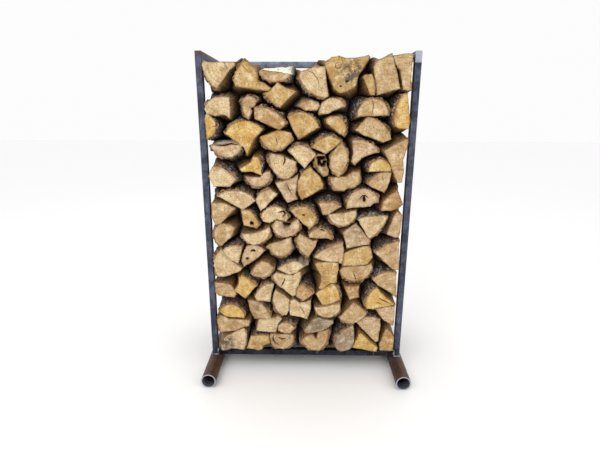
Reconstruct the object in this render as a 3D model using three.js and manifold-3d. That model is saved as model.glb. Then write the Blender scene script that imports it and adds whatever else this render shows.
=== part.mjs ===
// Firewood rack filled with split logs.
// Millimetres, +Z up, the front of the rack faces -Y, origin on the floor under the middle.
import * as THREE from 'three';
import { mergeVertices } from 'three/addons/utils/BufferGeometryUtils.js';
import Module from 'manifold-3d';

const wasm = await Module();
wasm.setup();

// ---- Driving dimensions: the welded rack ----
const RACK_WIDTH = 812.8; // over the posts
const RACK_DEPTH = 360;
const POST_LENGTH = 1232; // from the top of the foot pipes to the top of the rack
const TUBE = 25.4; // square tube
const TUBE_WALL = 2;
const TUBE_CORNER = 3.2; // outside corner radius
const PIPE_OUTSIDE = 60.3; // foot pipe
const PIPE_WALL = 3.9;
const PIPE_SIDES = 24;
const FOOT_REACH = 145; // how far a foot pipe runs out past the posts
const WELD_GAP = 0.3; // left between pieces that are welded together
const CORNER_FLATS = 3; // flats round each corner of a tube

// ---- Driving dimensions: the logs ----
const LOG_FRONT = -192; // mean place of the sawn front faces
const FRONT_SPREAD = 6;
const FRONT_PHASE = 2.4; // turns the order of the logs into an uneven spread
const LOG_BACK = 202; // mean place of the sawn back faces
const BACK_SPREAD = 12;
const BACK_PHASE = 1.7;
const SHORT_BACK = 140; // logs that stand as high as the back top rail end in front of it
const ARC_STEP = 15; // longest flat along a round bark side
const ARC_FLATS = 3; // fewest flats along it
const LOG_GAP = 0.4; // between logs of different nodes
const CONTACT_AREA = 2; // square millimetres that slid logs of one node share at their touch
const SLIDE_STEP = 0.3;
const ROOM_SIDES = 8; // directions in which a log's room is grown
const ROOM_REACH = 400; // the room runs this far to the front and to the back
const MERGE_DISTANCE = 1e-4;

const HALF_WIDTH = RACK_WIDTH / 2;
const HALF_DEPTH = RACK_DEPTH / 2;
const POST_X = HALF_WIDTH - TUBE / 2;
const POST_Y = HALF_DEPTH - TUBE / 2;
const RACK_TOP = PIPE_OUTSIDE + POST_LENGTH;
const BETWEEN_POSTS = RACK_WIDTH - 2 * TUBE - 2 * WELD_GAP;
const LOG_SIDE_LIMIT = HALF_WIDTH - TUBE - LOG_GAP;
const LOG_FLOOR = PIPE_OUTSIDE + TUBE + 2 * WELD_GAP;

// ---- Log ends, seen from the front ----
// Each log is a list of corners [x, z], clockwise. A third number is the height of the round
// bark side that bulges outwards between this corner and the next one.
const LOGS = {
  A1: [[-376, 116], [-345, 152], [-300, 182], [-262, 196, 12], [-268, 93], [-320, 98], [-338, 88],
    [-362, 88]],
  A2: [[-257, 97], [-236, 155, 4], [-159, 156], [-152, 121], [-183, 109], [-188, 92], [-205, 86.5],
    [-225, 94]],
  A3: [[-153, 164], [-55, 160, 73]],
  A4: [[-21, 142], [3, 163], [28, 167], [44, 148], [52, 178], [97, 190, 12], [58, 87, 16]],
  A5: [[121, 122, 17], [196, 216], [203, 200], [207, 140], [198, 108], [185, 95], [150, 87], [134, 96]],
  A6: [[202, 108], [233, 182], [311, 112], [309, 88], [280, 93]],
  A7: [[213, 223], [243, 251, 4], [312, 243], [316, 215], [310, 135], [297, 131]],
  A8: [[316, 122], [337, 193], [348, 195], [378, 158], [375, 88], [318, 88]],
  B1: [[-362, 180, 13], [-366, 257], [-345, 255], [-330, 243], [-238, 238], [-243, 210], [-264, 206],
    [-300, 187]],
  B2: [[-212, 182], [-206, 220], [-198, 240], [-130, 247], [-118, 257], [-101, 240], [-115, 220],
    [-127, 174]],
  B3: [[-114, 186], [-112, 211, 20], [-42, 200], [-58, 174], [-80, 174]],
  B4: [[-13, 184], [28, 242], [46, 252], [80, 242], [112, 237], [116, 224], [88, 195], [62, 183], [3, 171]],
  B5: [[137, 252], [195, 328], [250, 282, 41]],
  B6: [[286, 291], [330, 303], [369, 306], [370, 240], [366, 213], [322, 243]],
  C1: [[-367, 268, 49], [-262, 243], [-338, 246]],
  C2: [[-242, 330], [-200, 324, 10], [-145, 242], [-217, 243], [-236, 285]],
  C3: [[-138, 350], [-128, 372], [-86, 346], [-68, 325], [-72, 278], [-82, 256], [-100, 254, 14]],
  C4: [[-63, 258], [-65, 300], [-60, 325], [-46, 333], [-20, 318], [3, 322], [26, 332], [24, 280],
    [11, 240], [-20, 250]],
  C5: [[33, 298], [80, 302], [141, 321], [142, 290, 44]],
  D1: [[-381, 403], [-322, 399, 6], [-290, 352], [-298, 334], [-362, 341], [-379, 352]],
  D2: [[-297, 371], [-276, 400], [-276, 430], [-262, 435, 4], [-202, 396], [-250, 336]],
  D3: [[-213, 340, 18], [-133, 399], [-142, 360], [-150, 317], [-207, 323]],
  D4: [[-138, 436], [-122, 450], [-85, 441], [-55, 440], [-38, 452], [-21, 455], [-20, 428], [-28, 400],
    [-42, 350], [-56, 342], [-106, 385, 8]],
  D5: [[-40, 348], [-38, 378], [-20, 402, 4], [33, 362], [4, 335], [-14, 326]],
  D6: [[37, 357], [62, 376], [104, 403], [120, 397, 5], [141, 324], [86, 304], [66, 304]],
  D7: [[33, 490], [46, 500], [128, 499], [131, 470], [124, 440], [124, 408], [100, 406], [62, 376],
    [49, 384], [60, 418], [60, 436]],
  D8: [[250, 291, 18], [288, 392], [330, 345], [373, 313], [330, 303], [280, 291]],
  D9: [[269, 423, 13], [366, 453], [370, 400], [373, 341], [345, 365], [292, 397]],
  D10: [[153, 396], [218, 399], [214, 372], [218, 347], [180, 334]],
  D11: [[136, 456], [148, 471], [240, 479], [264, 488], [268, 470, 54]],
  E1: [[-362, 428, 12], [-374, 505, 4], [-342, 553], [-322, 517], [-262, 468], [-268, 454], [-334, 428]],
  E2: [[-336, 550, 8], [-252, 568], [-262, 525], [-272, 491], [-300, 504], [-322, 527]],
  E3: [[-266, 495], [-258, 525], [-243, 560], [-222, 568], [-196, 567], [-165, 545], [-197, 510],
    [-257, 469]],
  E4: [[-230, 447], [-205, 484], [-183, 501], [-160, 497], [-130, 473, 10], [-180, 429], [-212, 432]],
  E5: [[-117, 465, 12], [-32, 500], [-10, 482], [9, 488], [-18, 472], [-38, 452], [-68, 442]],
  E6: [[-166, 558], [-150, 572], [-110, 583], [-62, 600], [-57, 566, 37], [-145, 544]],
  E7: [[-42, 597], [-28, 617], [25, 588], [43, 593], [36, 565], [9, 522, 13]],
  E8: [[144, 478], [150, 534], [178, 548], [215, 562], [250, 567], [262, 545], [268, 518], [248, 486],
    [195, 480]],
  E9: [[26, 519, 11], [141, 580], [147, 545], [142, 491], [75, 502], [46, 509]],
  E10: [[271, 541, 6], [367, 592], [370, 530], [373, 470], [345, 471], [300, 515]],
  E11: [[142, 624], [195, 660], [216, 636], [256, 587], [250, 572], [205, 564], [161, 555]],
  E12: [[199, 680, 8], [318, 691, 10], [247, 599]],
  E13: [[316, 616], [328, 655], [338, 688], [351, 710], [372, 698], [372, 640], [366, 600], [345, 604]],
  F1: [[-356, 567, 23], [-340, 657], [-300, 652], [-283, 637], [-300, 600], [-342, 563]],
  F2: [[-373, 744], [-340, 750], [-310, 742], [-281, 724], [-318, 686], [-340, 663], [-362, 655],
    [-375, 690]],
  F3: [[-259, 711], [-232, 711, 9], [-188, 648], [-197, 632], [-250, 648]],
  F4: [[-256, 618], [-215, 620], [-180, 630], [-146, 648], [-143, 628, 9], [-192, 574, 6], [-225, 576, 9]],
  F5: [[-139, 648], [-122, 672], [-92, 664], [-62, 662], [-33, 679], [-27, 658, 53]],
  F6: [[-183, 682, 44], [-73, 682], [-82, 662], [-98, 668], [-120, 674], [-146, 658], [-172, 664]],
  F7: [[-66, 712, 28], [38, 685, 6], [11, 635], [-48, 690]],
  F8: [[9, 602, 46], [101, 600]],
  F9: [[82, 697], [150, 704], [192, 713], [195, 695, 47]],
  F10: [[46, 742, 12], [133, 732], [84, 700], [62, 698]],
  F11: [[157, 721, 65], [282, 743], [262, 740], [248, 727]],
  F12: [[287, 711], [292, 748], [318, 775], [346, 798], [371, 738], [358, 722], [325, 712]],
  G1: [[-348, 766, 31], [-199, 750], [-250, 711]],
  G2: [[-199, 748, 12], [-140, 793], [-111, 775], [-158, 722], [-179, 706]],
  G3: [[-122, 819], [-58, 838], [-33, 853], [-44, 775], [-35, 757], [-76, 742]],
  G4: [[-15, 751, 35], [16, 879], [54, 843], [68, 812], [64, 797]],
  G5: [[86, 836], [148, 839], [175, 860], [203, 858], [204, 835, 8], [174, 793], [155, 792], [143, 781],
    [118, 784, 8]],
  G6: [[231, 817, 10], [292, 863], [320, 861], [308, 802], [296, 783], [246, 804]],
  G7: [[234, 862, 50], [320, 863]],
  G9: [[128, 975, 5], [155, 910, 4], [120, 843, 14], [85, 918, 5]],
  G10: [[24, 915], [40, 931], [66, 928], [75, 905], [74, 886], [82, 872], [81, 848], [66, 846, 10]],
  G11: [[167, 979, 5], [222, 976, 8], [266, 938], [206, 917], [180, 886], [166, 902], [172, 925]],
  G12: [[290, 944], [352, 983], [379, 993], [381, 975], [366, 905], [372, 868], [368, 828], [352, 823],
    [336, 848], [320, 893]],
  H1: [[-380, 843], [-362, 881], [-338, 880, 5], [-271, 830], [-298, 802], [-361, 803]],
  H2: [[-258, 872], [-214, 900], [-204, 919], [-184, 918, 5], [-172, 847], [-206, 861], [-250, 861]],
  H3: [[-235, 841], [-178, 838], [-160, 858], [-140, 861], [-135, 845, 42]],
  H4: [[-144, 918], [-136, 930], [-100, 925], [-40, 900], [-42, 875, 12], [-88, 829, 16]],
  H5: [[-76, 944, 25], [32, 928], [-13, 877]],
  H6: [[-365, 957], [-345, 966], [-300, 966], [-268, 974], [-245, 957, 42]],
  H7: [[-381, 1071], [-366, 1074, 31], [-377, 983]],
  H8: [[-305, 1006, 40], [-165, 1020], [-196, 985], [-225, 927], [-237, 955]],
  H9: [[-178, 985], [-110, 1011], [-62, 1001], [-56, 984, 49]],
  H10: [[-197, 1099, 20], [-76, 1040], [-103, 1015], [-195, 1057]],
  H11: [[-74, 1063, 36], [41, 1028], [-33, 980], [-58, 1025]],
  H12: [[14, 957, 30], [127, 980], [68, 932]],
  H13: [[66, 1056], [84, 1067], [112, 1067, 16], [136, 996], [118, 1003], [70, 1043]],
  H14: [[177, 1018], [222, 1068, 8], [305, 1012], [312, 985], [283, 972], [206, 1000]],
  H15: [[346, 1146], [361, 1149], [368, 1098], [377, 1050], [373, 1022], [340, 1023], [320, 1034, 14]],
  I1: [[-381, 1098, 20], [-283, 1139], [-280, 1098], [-283, 1064], [-306, 1078], [-340, 1073],
    [-370, 1082]],
  I2: [[-243, 1132], [-226, 1142, 4], [-187, 1128], [-198, 1103], [-213, 1100], [-206, 1088],
    [-220, 1057, 10]],
  I3: [[-36, 1103], [-20, 1119], [10, 1125], [40, 1116], [46, 1103], [36, 1088], [-8, 1086]],
  I4: [[44, 1072, 43], [138, 1101], [98, 1085], [80, 1074]],
  I5: [[181, 1072, 63], [296, 1078]],
  I6: [[-158, 1147], [-136, 1157], [-122, 1172], [-109, 1186], [-80, 1166], [-42, 1153], [-102, 1097, 6]],
  J1: [[-384, 1243], [-374, 1254], [-260, 1254], [-262, 1240], [-284, 1222], [-330, 1161, 8]],
  J2: [[-232, 1252], [-216, 1252], [-194, 1234], [-180, 1214], [-178, 1190], [-160, 1186], [-129, 1162],
    [-144, 1154], [-264, 1170], [-267, 1190, 6]],
  J3: [[-180, 1223], [-164, 1231], [-110, 1224], [-62, 1216, 32]],
  J4: [[-34, 1204], [-26, 1222], [20, 1237], [62, 1239], [66, 1200], [76, 1138], [62, 1129, 17]],
  J5: [[64, 1252], [90, 1273], [118, 1276], [148, 1269], [190, 1272], [222, 1279], [224, 1268],
    [188, 1208], [178, 1172], [150, 1156], [122, 1150], [100, 1166], [84, 1204]],
  J6: [[195, 1203], [202, 1212], [228, 1213], [240, 1190], [245, 1165], [243, 1140], [226, 1141]],
  J7: [[232, 1236], [243, 1258], [268, 1268], [297, 1284], [304, 1262], [320, 1210], [332, 1164],
    [250, 1140], [244, 1175]],
  J8: [[303, 1276], [345, 1283], [374, 1282], [372, 1215], [376, 1156], [346, 1160], [338, 1195],
    [331, 1224], [314, 1245]],
};

// Neighbours that rest hard against each other and make one solid.
const JOINED = [
  'A1 B1 C1', 'A2 A3', 'A4 B4', 'A5 A6', 'A7 B5', 'B2 B3', 'B6 D8', 'C2 D3', 'C3 C4',
  'D6 C5 D7', 'D1 D2', 'D4 D5 E5', 'E8 D11 E9', 'E1 E2', 'E3 F4', 'E7 F8', 'E11 E12',
  'F1 F2', 'G1 F3 G2', 'F5 F6 F7', 'F9 F10', 'G3 G4 H4', 'G9 G5 H12', 'G7 G6 G12', 'G10 H5',
  'H2 H3', 'H6 H8', 'H7 I1', 'H10 H9 I2', 'H14 I5', 'I3 I4', 'I6 J2 J3', 'J4 J5', 'J7 J6 J8',
];

// Front faces that stand back from the others, and logs that end short of the back.
const SET_BACK = { A3: 20, A8: 15 };
const SHORT = ['J5', 'J7', 'J8'];

// ---- Colours ----
const STEEL = { color: 0x4b4d57, roughness: 0.5, metalness: 0.75 };
const DARK_STEEL = { color: 0x2e2e34, roughness: 0.55, metalness: 0.7 };
const RUSTY_PIPE = { color: 0x5a4638, roughness: 0.65, metalness: 0.5 };
const WOOD_TONES = [0xd9bb8a, 0xe3cda2, 0xcaa566, 0xc7a67c, 0xdcc39a];

// ---- Solids ----
function toSolid(geometry) {
  const bare = geometry.index ? geometry.toNonIndexed() : geometry.clone();
  bare.deleteAttribute('normal');
  bare.deleteAttribute('uv');
  const merged = mergeVertices(bare, MERGE_DISTANCE);
  const mesh = new wasm.Mesh({
    numProp: 3,
    vertProperties: Float32Array.from(merged.attributes.position.array),
    triVerts: Uint32Array.from(merged.index.array),
  });
  return new wasm.Manifold(mesh);
}

function toGeometry(solid) {
  const mesh = solid.getMesh();
  const geometry = new THREE.BufferGeometry();
  geometry.setAttribute('position', new THREE.BufferAttribute(mesh.vertProperties, 3));
  geometry.setIndex(new THREE.BufferAttribute(mesh.triVerts, 1));
  geometry.computeVertexNormals();
  return geometry;
}

function largestBody(solid) {
  const bodies = solid.decompose();
  return bodies.reduce((best, body) => (body.volume() > best.volume() ? body : best));
}

const model = new THREE.Group();
model.name = 'firewood_rack';

function addMesh(name, geometry, look) {
  const mesh = new THREE.Mesh(geometry, new THREE.MeshStandardMaterial(look));
  mesh.name = name;
  model.add(mesh);
  return mesh;
}

// ---- Rack ----
function roundedSquare(target, size, radius) {
  const half = size / 2;
  const flat = half - radius;
  target.moveTo(half, -flat);
  target.lineTo(half, flat);
  target.absarc(flat, flat, radius, 0, Math.PI / 2);
  target.lineTo(-flat, half);
  target.absarc(-flat, flat, radius, Math.PI / 2, Math.PI);
  target.lineTo(-half, -flat);
  target.absarc(-flat, -flat, radius, Math.PI, Math.PI * 1.5);
  target.lineTo(flat, -half);
  target.absarc(flat, -flat, radius, Math.PI * 1.5, Math.PI * 2);
  return target;
}

// A square tube with open ends that runs from z = 0 to z = length.
function squareTube(length) {
  const section = roundedSquare(new THREE.Shape(), TUBE, TUBE_CORNER);
  section.holes.push(roundedSquare(new THREE.Path(), TUBE - 2 * TUBE_WALL, TUBE_CORNER - TUBE_WALL));
  return new THREE.ExtrudeGeometry(section,
    { depth: length, bevelEnabled: false, curveSegments: CORNER_FLATS });
}

// Cuts a tube at the mitre of a top corner. A post keeps what is under the 45 degree plane and
// a side rail keeps what is over it.
function mitre(solid, sideY, turn) {
  const reach = 4 * TUBE;
  const block = new THREE.BoxGeometry(reach, reach, reach);
  block.translate(0, 0, reach / 2 - WELD_GAP / 2);
  block.rotateX(sideY * turn);
  block.translate(0, sideY * POST_Y, RACK_TOP - TUBE / 2);
  return solid.subtract(toSolid(block));
}
const POST_MITRE = Math.PI / 4;
const RAIL_MITRE = -Math.PI * 0.75;

function addPost(name, sideX, sideY) {
  const length = POST_LENGTH - WELD_GAP;
  const upright = squareTube(length);
  upright.translate(0, sideY * POST_Y, PIPE_OUTSIDE + WELD_GAP);
  const cut = mitre(toSolid(upright), sideY, POST_MITRE);
  const post = addMesh(name, toGeometry(cut), STEEL);
  post.position.x = sideX * POST_X;
}

function addTopSideRail(name, sideX) {
  const rail = squareTube(RACK_DEPTH);
  rail.rotateX(-Math.PI / 2);
  rail.translate(0, -HALF_DEPTH, RACK_TOP - TUBE / 2);
  let solid = toSolid(rail);
  for (const sideY of [-1, 1]) {
    solid = mitre(solid, sideY, RAIL_MITRE);
  }
  addMesh(name, toGeometry(solid), STEEL).position.x = sideX * POST_X;
}

function addCrossRail(name, y, z, look) {
  const rail = addMesh(name, squareTube(BETWEEN_POSTS), look);
  rail.rotation.y = Math.PI / 2;
  rail.position.set(-BETWEEN_POSTS / 2, y, z);
}

// A round pipe with one flat facet down, so that it stands, and one up, under the posts.
function addFootPipe(name, x) {
  const toCorner = 1 / Math.cos(Math.PI / PIPE_SIDES);
  const section = new THREE.Shape();
  const bore = new THREE.Path();
  for (let side = 0; side < PIPE_SIDES; side += 1) {
    const angle = ((side + 0.5) / PIPE_SIDES) * Math.PI * 2;
    const outer = (PIPE_OUTSIDE / 2) * toCorner;
    const inner = (PIPE_OUTSIDE / 2 - PIPE_WALL) * toCorner;
    const draw = side ? 'lineTo' : 'moveTo';
    section[draw](outer * Math.cos(angle), outer * Math.sin(angle));
    bore[draw](inner * Math.cos(angle), inner * Math.sin(angle));
  }
  section.holes.push(bore);
  const length = RACK_DEPTH + 2 * FOOT_REACH;
  const pipe = addMesh(name,
    new THREE.ExtrudeGeometry(section, { depth: length, bevelEnabled: false }), RUSTY_PIPE);
  pipe.rotation.x = Math.PI / 2;
  pipe.position.set(x, length / 2, PIPE_OUTSIDE / 2);
}

for (const [side, sideX] of [['left', -1], ['right', 1]]) {
  addFootPipe(`foot_pipe_${side}`, sideX * POST_X);
  addPost(`post_front_${side}`, sideX, -1);
  addPost(`post_back_${side}`, sideX, 1);
  addTopSideRail(`top_rail_${side}`, sideX);
}
const bottomRailZ = PIPE_OUTSIDE + WELD_GAP + TUBE / 2;
addCrossRail('bottom_rail_front', -POST_Y, bottomRailZ, DARK_STEEL);
addCrossRail('bottom_rail_back', POST_Y, bottomRailZ, DARK_STEEL);
addCrossRail('top_rail_back', POST_Y, RACK_TOP - TUBE / 2, STEEL);

// ---- Logs ----
// Keeps an outline between the posts and above the bottom rails.
function keepInRack(outline) {
  return outline.map((point) => new THREE.Vector2(
    THREE.MathUtils.clamp(point.x, -LOG_SIDE_LIMIT, LOG_SIDE_LIMIT),
    Math.max(point.y, LOG_FLOOR),
  ));
}

// Corners and bark arcs as one closed run of points.
function logOutline(corners) {
  const points = [];
  corners.forEach(([x, z, bulge = 0], index) => {
    const [nextX, nextZ] = corners[(index + 1) % corners.length];
    const start = new THREE.Vector2(x, z);
    points.push(start);
    if (bulge === 0) return;
    const chord = new THREE.Vector2(nextX, nextZ).sub(start);
    const length = chord.length();
    const along = chord.clone().divideScalar(length);
    const outward = new THREE.Vector2(-along.y, along.x);
    const radius = (length * length / 4 + bulge * bulge) / (2 * bulge);
    const halfAngle = 2 * Math.atan2(2 * bulge, length);
    const centre = start.clone().addScaledVector(chord, 0.5).addScaledVector(outward, bulge - radius);
    const flats = Math.max(ARC_FLATS, Math.ceil((2 * halfAngle * radius) / ARC_STEP));
    for (let step = 1; step < flats; step += 1) {
      const angle = halfAngle * ((2 * step) / flats - 1);
      points.push(centre.clone()
        .addScaledVector(along, radius * Math.sin(angle))
        .addScaledVector(outward, radius * Math.cos(angle)));
    }
  });
  return keepInRack(points);
}

// The shortest step that brings one outline onto the other.
function stepBetween(outline, other) {
  const best = { distance: Infinity, step: new THREE.Vector2() };
  const tryPoints = (points, edges, sign) => {
    points.forEach((point) => edges.forEach((from, index) => {
      const edge = edges[(index + 1) % edges.length].clone().sub(from);
      const part = THREE.MathUtils.clamp(point.clone().sub(from).dot(edge) / edge.lengthSq(), 0, 1);
      const step = from.clone().addScaledVector(edge, part).sub(point);
      if (step.length() < best.distance) {
        best.distance = step.length();
        best.step = step.multiplyScalar(sign);
      }
    }));
  };
  tryPoints(outline, other, 1);
  tryPoints(other, outline, -1);
  return best;
}

// Slides an outline onto the nearest of the others, and on until the two share a small area.
function slideAgainst(outline, others) {
  const middle = (points) => points.reduce((sum, point) => sum.add(point), new THREE.Vector2())
    .divideScalar(points.length);
  const found = others.map((other) => ({ other, ...stepBetween(outline, other) }))
    .reduce((best, item) => (item.distance < best.distance ? item : best));
  const inwards = middle(found.other).sub(middle(outline)).setLength(SLIDE_STEP);
  const slide = (points, step) => keepInRack(points.map((point) => point.clone().add(step)));
  const against = prism(found.other, 0, 1);
  let moved = slide(outline, found.step);
  while (prism(moved, 0, 1).intersect(against).volume() < CONTACT_AREA) {
    moved = slide(moved, inwards);
  }
  return moved;
}

// A straight length of the outline between two places along y.
function prism(outline, front, back) {
  const geometry = new THREE.ExtrudeGeometry(new THREE.Shape(outline),
    { depth: back - front, bevelEnabled: false });
  geometry.rotateX(Math.PI / 2);
  geometry.translate(0, back, 0);
  return toSolid(geometry);
}

// The room that a log needs: its outline grown on all sides and run far out at both ends.
function clearance(outline) {
  let room = prism(outline, -ROOM_REACH, ROOM_REACH);
  for (let side = 0; side < ROOM_SIDES; side += 1) {
    const angle = (side * 2 * Math.PI) / ROOM_SIDES;
    const shift = new THREE.Vector2(Math.cos(angle), Math.sin(angle)).multiplyScalar(LOG_GAP);
    const shifted = outline.map((point) => point.clone().add(shift));
    room = room.add(prism(shifted, -ROOM_REACH, ROOM_REACH));
  }
  return room;
}

// Where a log's front and back faces stand.
function logEnds(name, order) {
  const front = LOG_FRONT + FRONT_SPREAD * Math.sin(FRONT_PHASE * order) + (SET_BACK[name] ?? 0);
  const back = SHORT.includes(name)
    ? SHORT_BACK : LOG_BACK + BACK_SPREAD * Math.sin(BACK_PHASE * order);
  return { front, back };
}

// The logs of each node: the joined groups first, then the logs that stand alone.
function logGroups() {
  const joined = JOINED.map((names) => names.split(' '));
  const single = Object.keys(LOGS).filter((name) => !joined.flat().includes(name));
  return [...joined, ...single.map((name) => [name])];
}

const order = Object.keys(LOGS);
const placed = [];
logGroups().forEach((names, index) => {
  const outlines = [];
  let solid = null;
  for (const name of names) {
    const drawn = logOutline(LOGS[name]);
    const outline = outlines.length ? slideAgainst(drawn, outlines) : drawn;
    const { front, back } = logEnds(name, order.indexOf(name));
    const log = prism(outline, front, back);
    solid = solid ? solid.add(log) : log;
    outlines.push(outline);
  }
  for (const room of placed) {
    if (solid.intersect(room).volume() > 0) solid = solid.subtract(room);
  }
  outlines.forEach((outline) => placed.push(clearance(outline)));
  const name = `${names.length > 1 ? 'logs' : 'log'}_${names.join('_').toLowerCase()}`;
  const look = { color: WOOD_TONES[index % WOOD_TONES.length], roughness: 0.85, metalness: 0 };
  addMesh(name, toGeometry(largestBody(solid)), look);
});

export default model;
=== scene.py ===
"""Looks of a welded firewood rack filled with split logs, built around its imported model.

Lengths are in metres, +Z is up and the front of the rack faces -Y. Every piece rides on the one
body of the model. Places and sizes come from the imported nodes.
"""
import logging
import math
from dataclasses import dataclass, field
from enum import Enum
from typing import Any, Iterable, Optional

import bpy
import numpy as np
from mathutils import Matrix, Vector
from mathutils.geometry import delaunay_2d_cdt


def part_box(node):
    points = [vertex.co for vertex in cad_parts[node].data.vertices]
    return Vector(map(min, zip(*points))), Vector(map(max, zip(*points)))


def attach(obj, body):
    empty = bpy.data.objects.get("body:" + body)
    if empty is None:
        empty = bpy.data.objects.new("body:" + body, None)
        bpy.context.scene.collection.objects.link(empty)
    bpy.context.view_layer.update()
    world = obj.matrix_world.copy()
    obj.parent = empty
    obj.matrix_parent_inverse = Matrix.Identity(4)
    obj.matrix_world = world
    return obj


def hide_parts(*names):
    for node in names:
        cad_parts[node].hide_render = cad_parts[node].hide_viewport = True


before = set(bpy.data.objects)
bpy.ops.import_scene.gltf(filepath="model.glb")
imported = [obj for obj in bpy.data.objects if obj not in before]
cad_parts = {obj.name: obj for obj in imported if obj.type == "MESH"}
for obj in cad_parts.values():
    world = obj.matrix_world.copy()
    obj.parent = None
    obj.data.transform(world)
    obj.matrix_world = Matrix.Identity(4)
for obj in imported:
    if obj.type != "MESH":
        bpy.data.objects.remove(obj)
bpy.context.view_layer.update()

LOG = logging.getLogger("firewood_rack")
MM = 0.001
BODY = "root"
# Keeps a division by a length away from zero.
TINY = 1e-9
# Large odd numbers that scramble the number of a noise cell.
MIX_ROW = (73856093, 19349663, 83492791)
MIX_SEED, MIX_ONE, MIX_TWO, MIX_MASK = 2654435761, 2246822519, 3266489917, 0xFFFFFFFF


def srgb(red: float, green: float, blue: float) -> tuple[float, float, float]:
    """Turns a colour as seen on a screen, 0 to 255, into linear light.

    Args:
        red: Red, 0 to 255.
        green: Green, 0 to 255.
        blue: Blue, 0 to 255.

    Returns:
        The three linear values.
    """
    parts = []
    for value in (red, green, blue):
        part = value / 255
        parts.append(part / 12.92 if part <= 0.04045 else ((part + 0.055) / 1.055) ** 2.4)
    return tuple(parts)


# ---- Helpers for shapes ----

def value_noise(points: np.ndarray, scale: tuple[float, float, float], seed: int) -> np.ndarray:
    """Smooth noise from -1 to 1 at many points.

    Args:
        points: One row of x, y, z for each point.
        scale: Length of one noise cell along x, y and z.
        seed: Whole number that picks the pattern.

    Returns:
        One value for each point.
    """
    place = points / np.array(scale)
    cell = np.floor(place).astype(np.int64)
    part = place - cell
    part = part * part * (3 - 2 * part)
    total = np.zeros(len(points))
    for corner in range(8):
        step = np.array([corner & 1, (corner >> 1) & 1, corner >> 2])
        spot = cell + step
        mixed = (spot[:, 0] * MIX_ROW[0]) ^ (spot[:, 1] * MIX_ROW[1]) ^ (spot[:, 2] * MIX_ROW[2])
        mixed = (mixed ^ (seed * MIX_SEED)) & MIX_MASK
        mixed = (mixed ^ (mixed >> 15)) * MIX_ONE & MIX_MASK
        mixed = (mixed ^ (mixed >> 13)) * MIX_TWO & MIX_MASK
        mixed = mixed ^ (mixed >> 16)
        weight = np.prod(np.where(step == 1, part, 1 - part), axis=1)
        total += weight * (mixed / MIX_MASK * 2 - 1)
    return total


def smooth_step(value: np.ndarray, low: float, high: float) -> np.ndarray:
    """Eases from 0 at low to 1 at high."""
    part = np.clip((value - low) / (high - low), 0, 1)
    return part * part * (3 - 2 * part)


def signed_area(loop: np.ndarray) -> float:
    """Area of a closed run of points in the x-z plane, positive when it runs anticlockwise."""
    after = np.roll(loop, -1, axis=0)
    return float(np.sum(loop[:, 0] * after[:, 1] - after[:, 0] * loop[:, 1]) / 2)


def inside(points: np.ndarray, loop: np.ndarray) -> np.ndarray:
    """Says which points lie inside a closed run of points.

    Args:
        points: One row of x, z for each point.
        loop: The corners of the closed run.

    Returns:
        True for each point that is inside.
    """
    found = np.zeros(len(points), bool)
    after = np.roll(loop, -1, axis=0)
    for (x0, z0), (x1, z1) in zip(loop, after):
        if z0 == z1:
            continue
        across = (z0 > points[:, 1]) != (z1 > points[:, 1])
        found ^= across & (points[:, 0] < (x1 - x0) * (points[:, 1] - z0) / (z1 - z0) + x0)
    return found


def distance_to(points: np.ndarray, loop: np.ndarray, closed: bool = True) -> np.ndarray:
    """Distance from each point to the nearest stretch of a run of points.

    Args:
        points: One row of x, z for each point.
        loop: The corners of the run.
        closed: Whether the last corner joins the first.

    Returns:
        One distance for each point.
    """
    start = loop if closed else loop[:-1]
    end = np.roll(loop, -1, axis=0) if closed else loop[1:]
    best = np.full(len(points), np.inf)
    for first, last in zip(start, end):
        run = last - first
        size = max(float(run @ run), 1e-12)
        part = np.clip(((points - first) @ run) / size, 0, 1)
        gap = points - first - part[:, None] * run
        best = np.minimum(best, np.hypot(gap[:, 0], gap[:, 1]))
    return best


def around(values: np.ndarray, passes: int) -> np.ndarray:
    """Smooths values that run round a closed outline.

    Args:
        values: One value or row for each point of the outline.
        passes: How often each is mixed with its two neighbours.

    Returns:
        The smoothed values.
    """
    for _ in range(passes):
        values = (np.roll(values, 1, axis=0) + 2 * values + np.roll(values, -1, axis=0)) / 4
    return values


def outward_of(loop: np.ndarray, passes: int) -> tuple[np.ndarray, np.ndarray]:
    """Finds the directions along and out of an anticlockwise outline.

    Args:
        loop: The points of the outline.
        passes: How often the directions are smoothed.

    Returns:
        The unit direction along the outline and the one out of it, at each point.
    """
    run = around(np.roll(loop, -1, axis=0) - np.roll(loop, 1, axis=0), passes)
    run /= np.maximum(np.hypot(run[:, 0], run[:, 1]), TINY)[:, None]
    return run, np.stack([run[:, 1], -run[:, 0]], axis=1)


def in_space(flat: np.ndarray) -> np.ndarray:
    """Gives points of the x-z plane their third value, y, which is 0."""
    return np.insert(flat, 1, 0, axis=1)


def make_piece(name: str, points: Iterable, faces: Iterable, materials: list) -> bpy.types.Object:
    """Makes a mesh object at the origin and links it to the scene.

    Args:
        name: Name of the piece.
        points: Corners in metres.
        faces: Rows of corner numbers.
        materials: Materials for its slots.

    Returns:
        The new object.
    """
    mesh = bpy.data.meshes.new(name)
    mesh.from_pydata(points, [], faces)
    mesh.validate()
    for material in materials:
        mesh.materials.append(material)
    piece = bpy.data.objects.new(name, mesh)
    bpy.context.scene.collection.objects.link(piece)
    return piece


def settle(piece: bpy.types.Object, nodes: Iterable[str] = ()) -> bpy.types.Object:
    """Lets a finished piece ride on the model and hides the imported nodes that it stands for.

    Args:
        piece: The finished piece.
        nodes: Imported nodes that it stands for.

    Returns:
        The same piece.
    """
    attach(piece, BODY)
    if nodes:
        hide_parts(*nodes)
    return piece


# ---- Helpers for finishes ----

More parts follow.
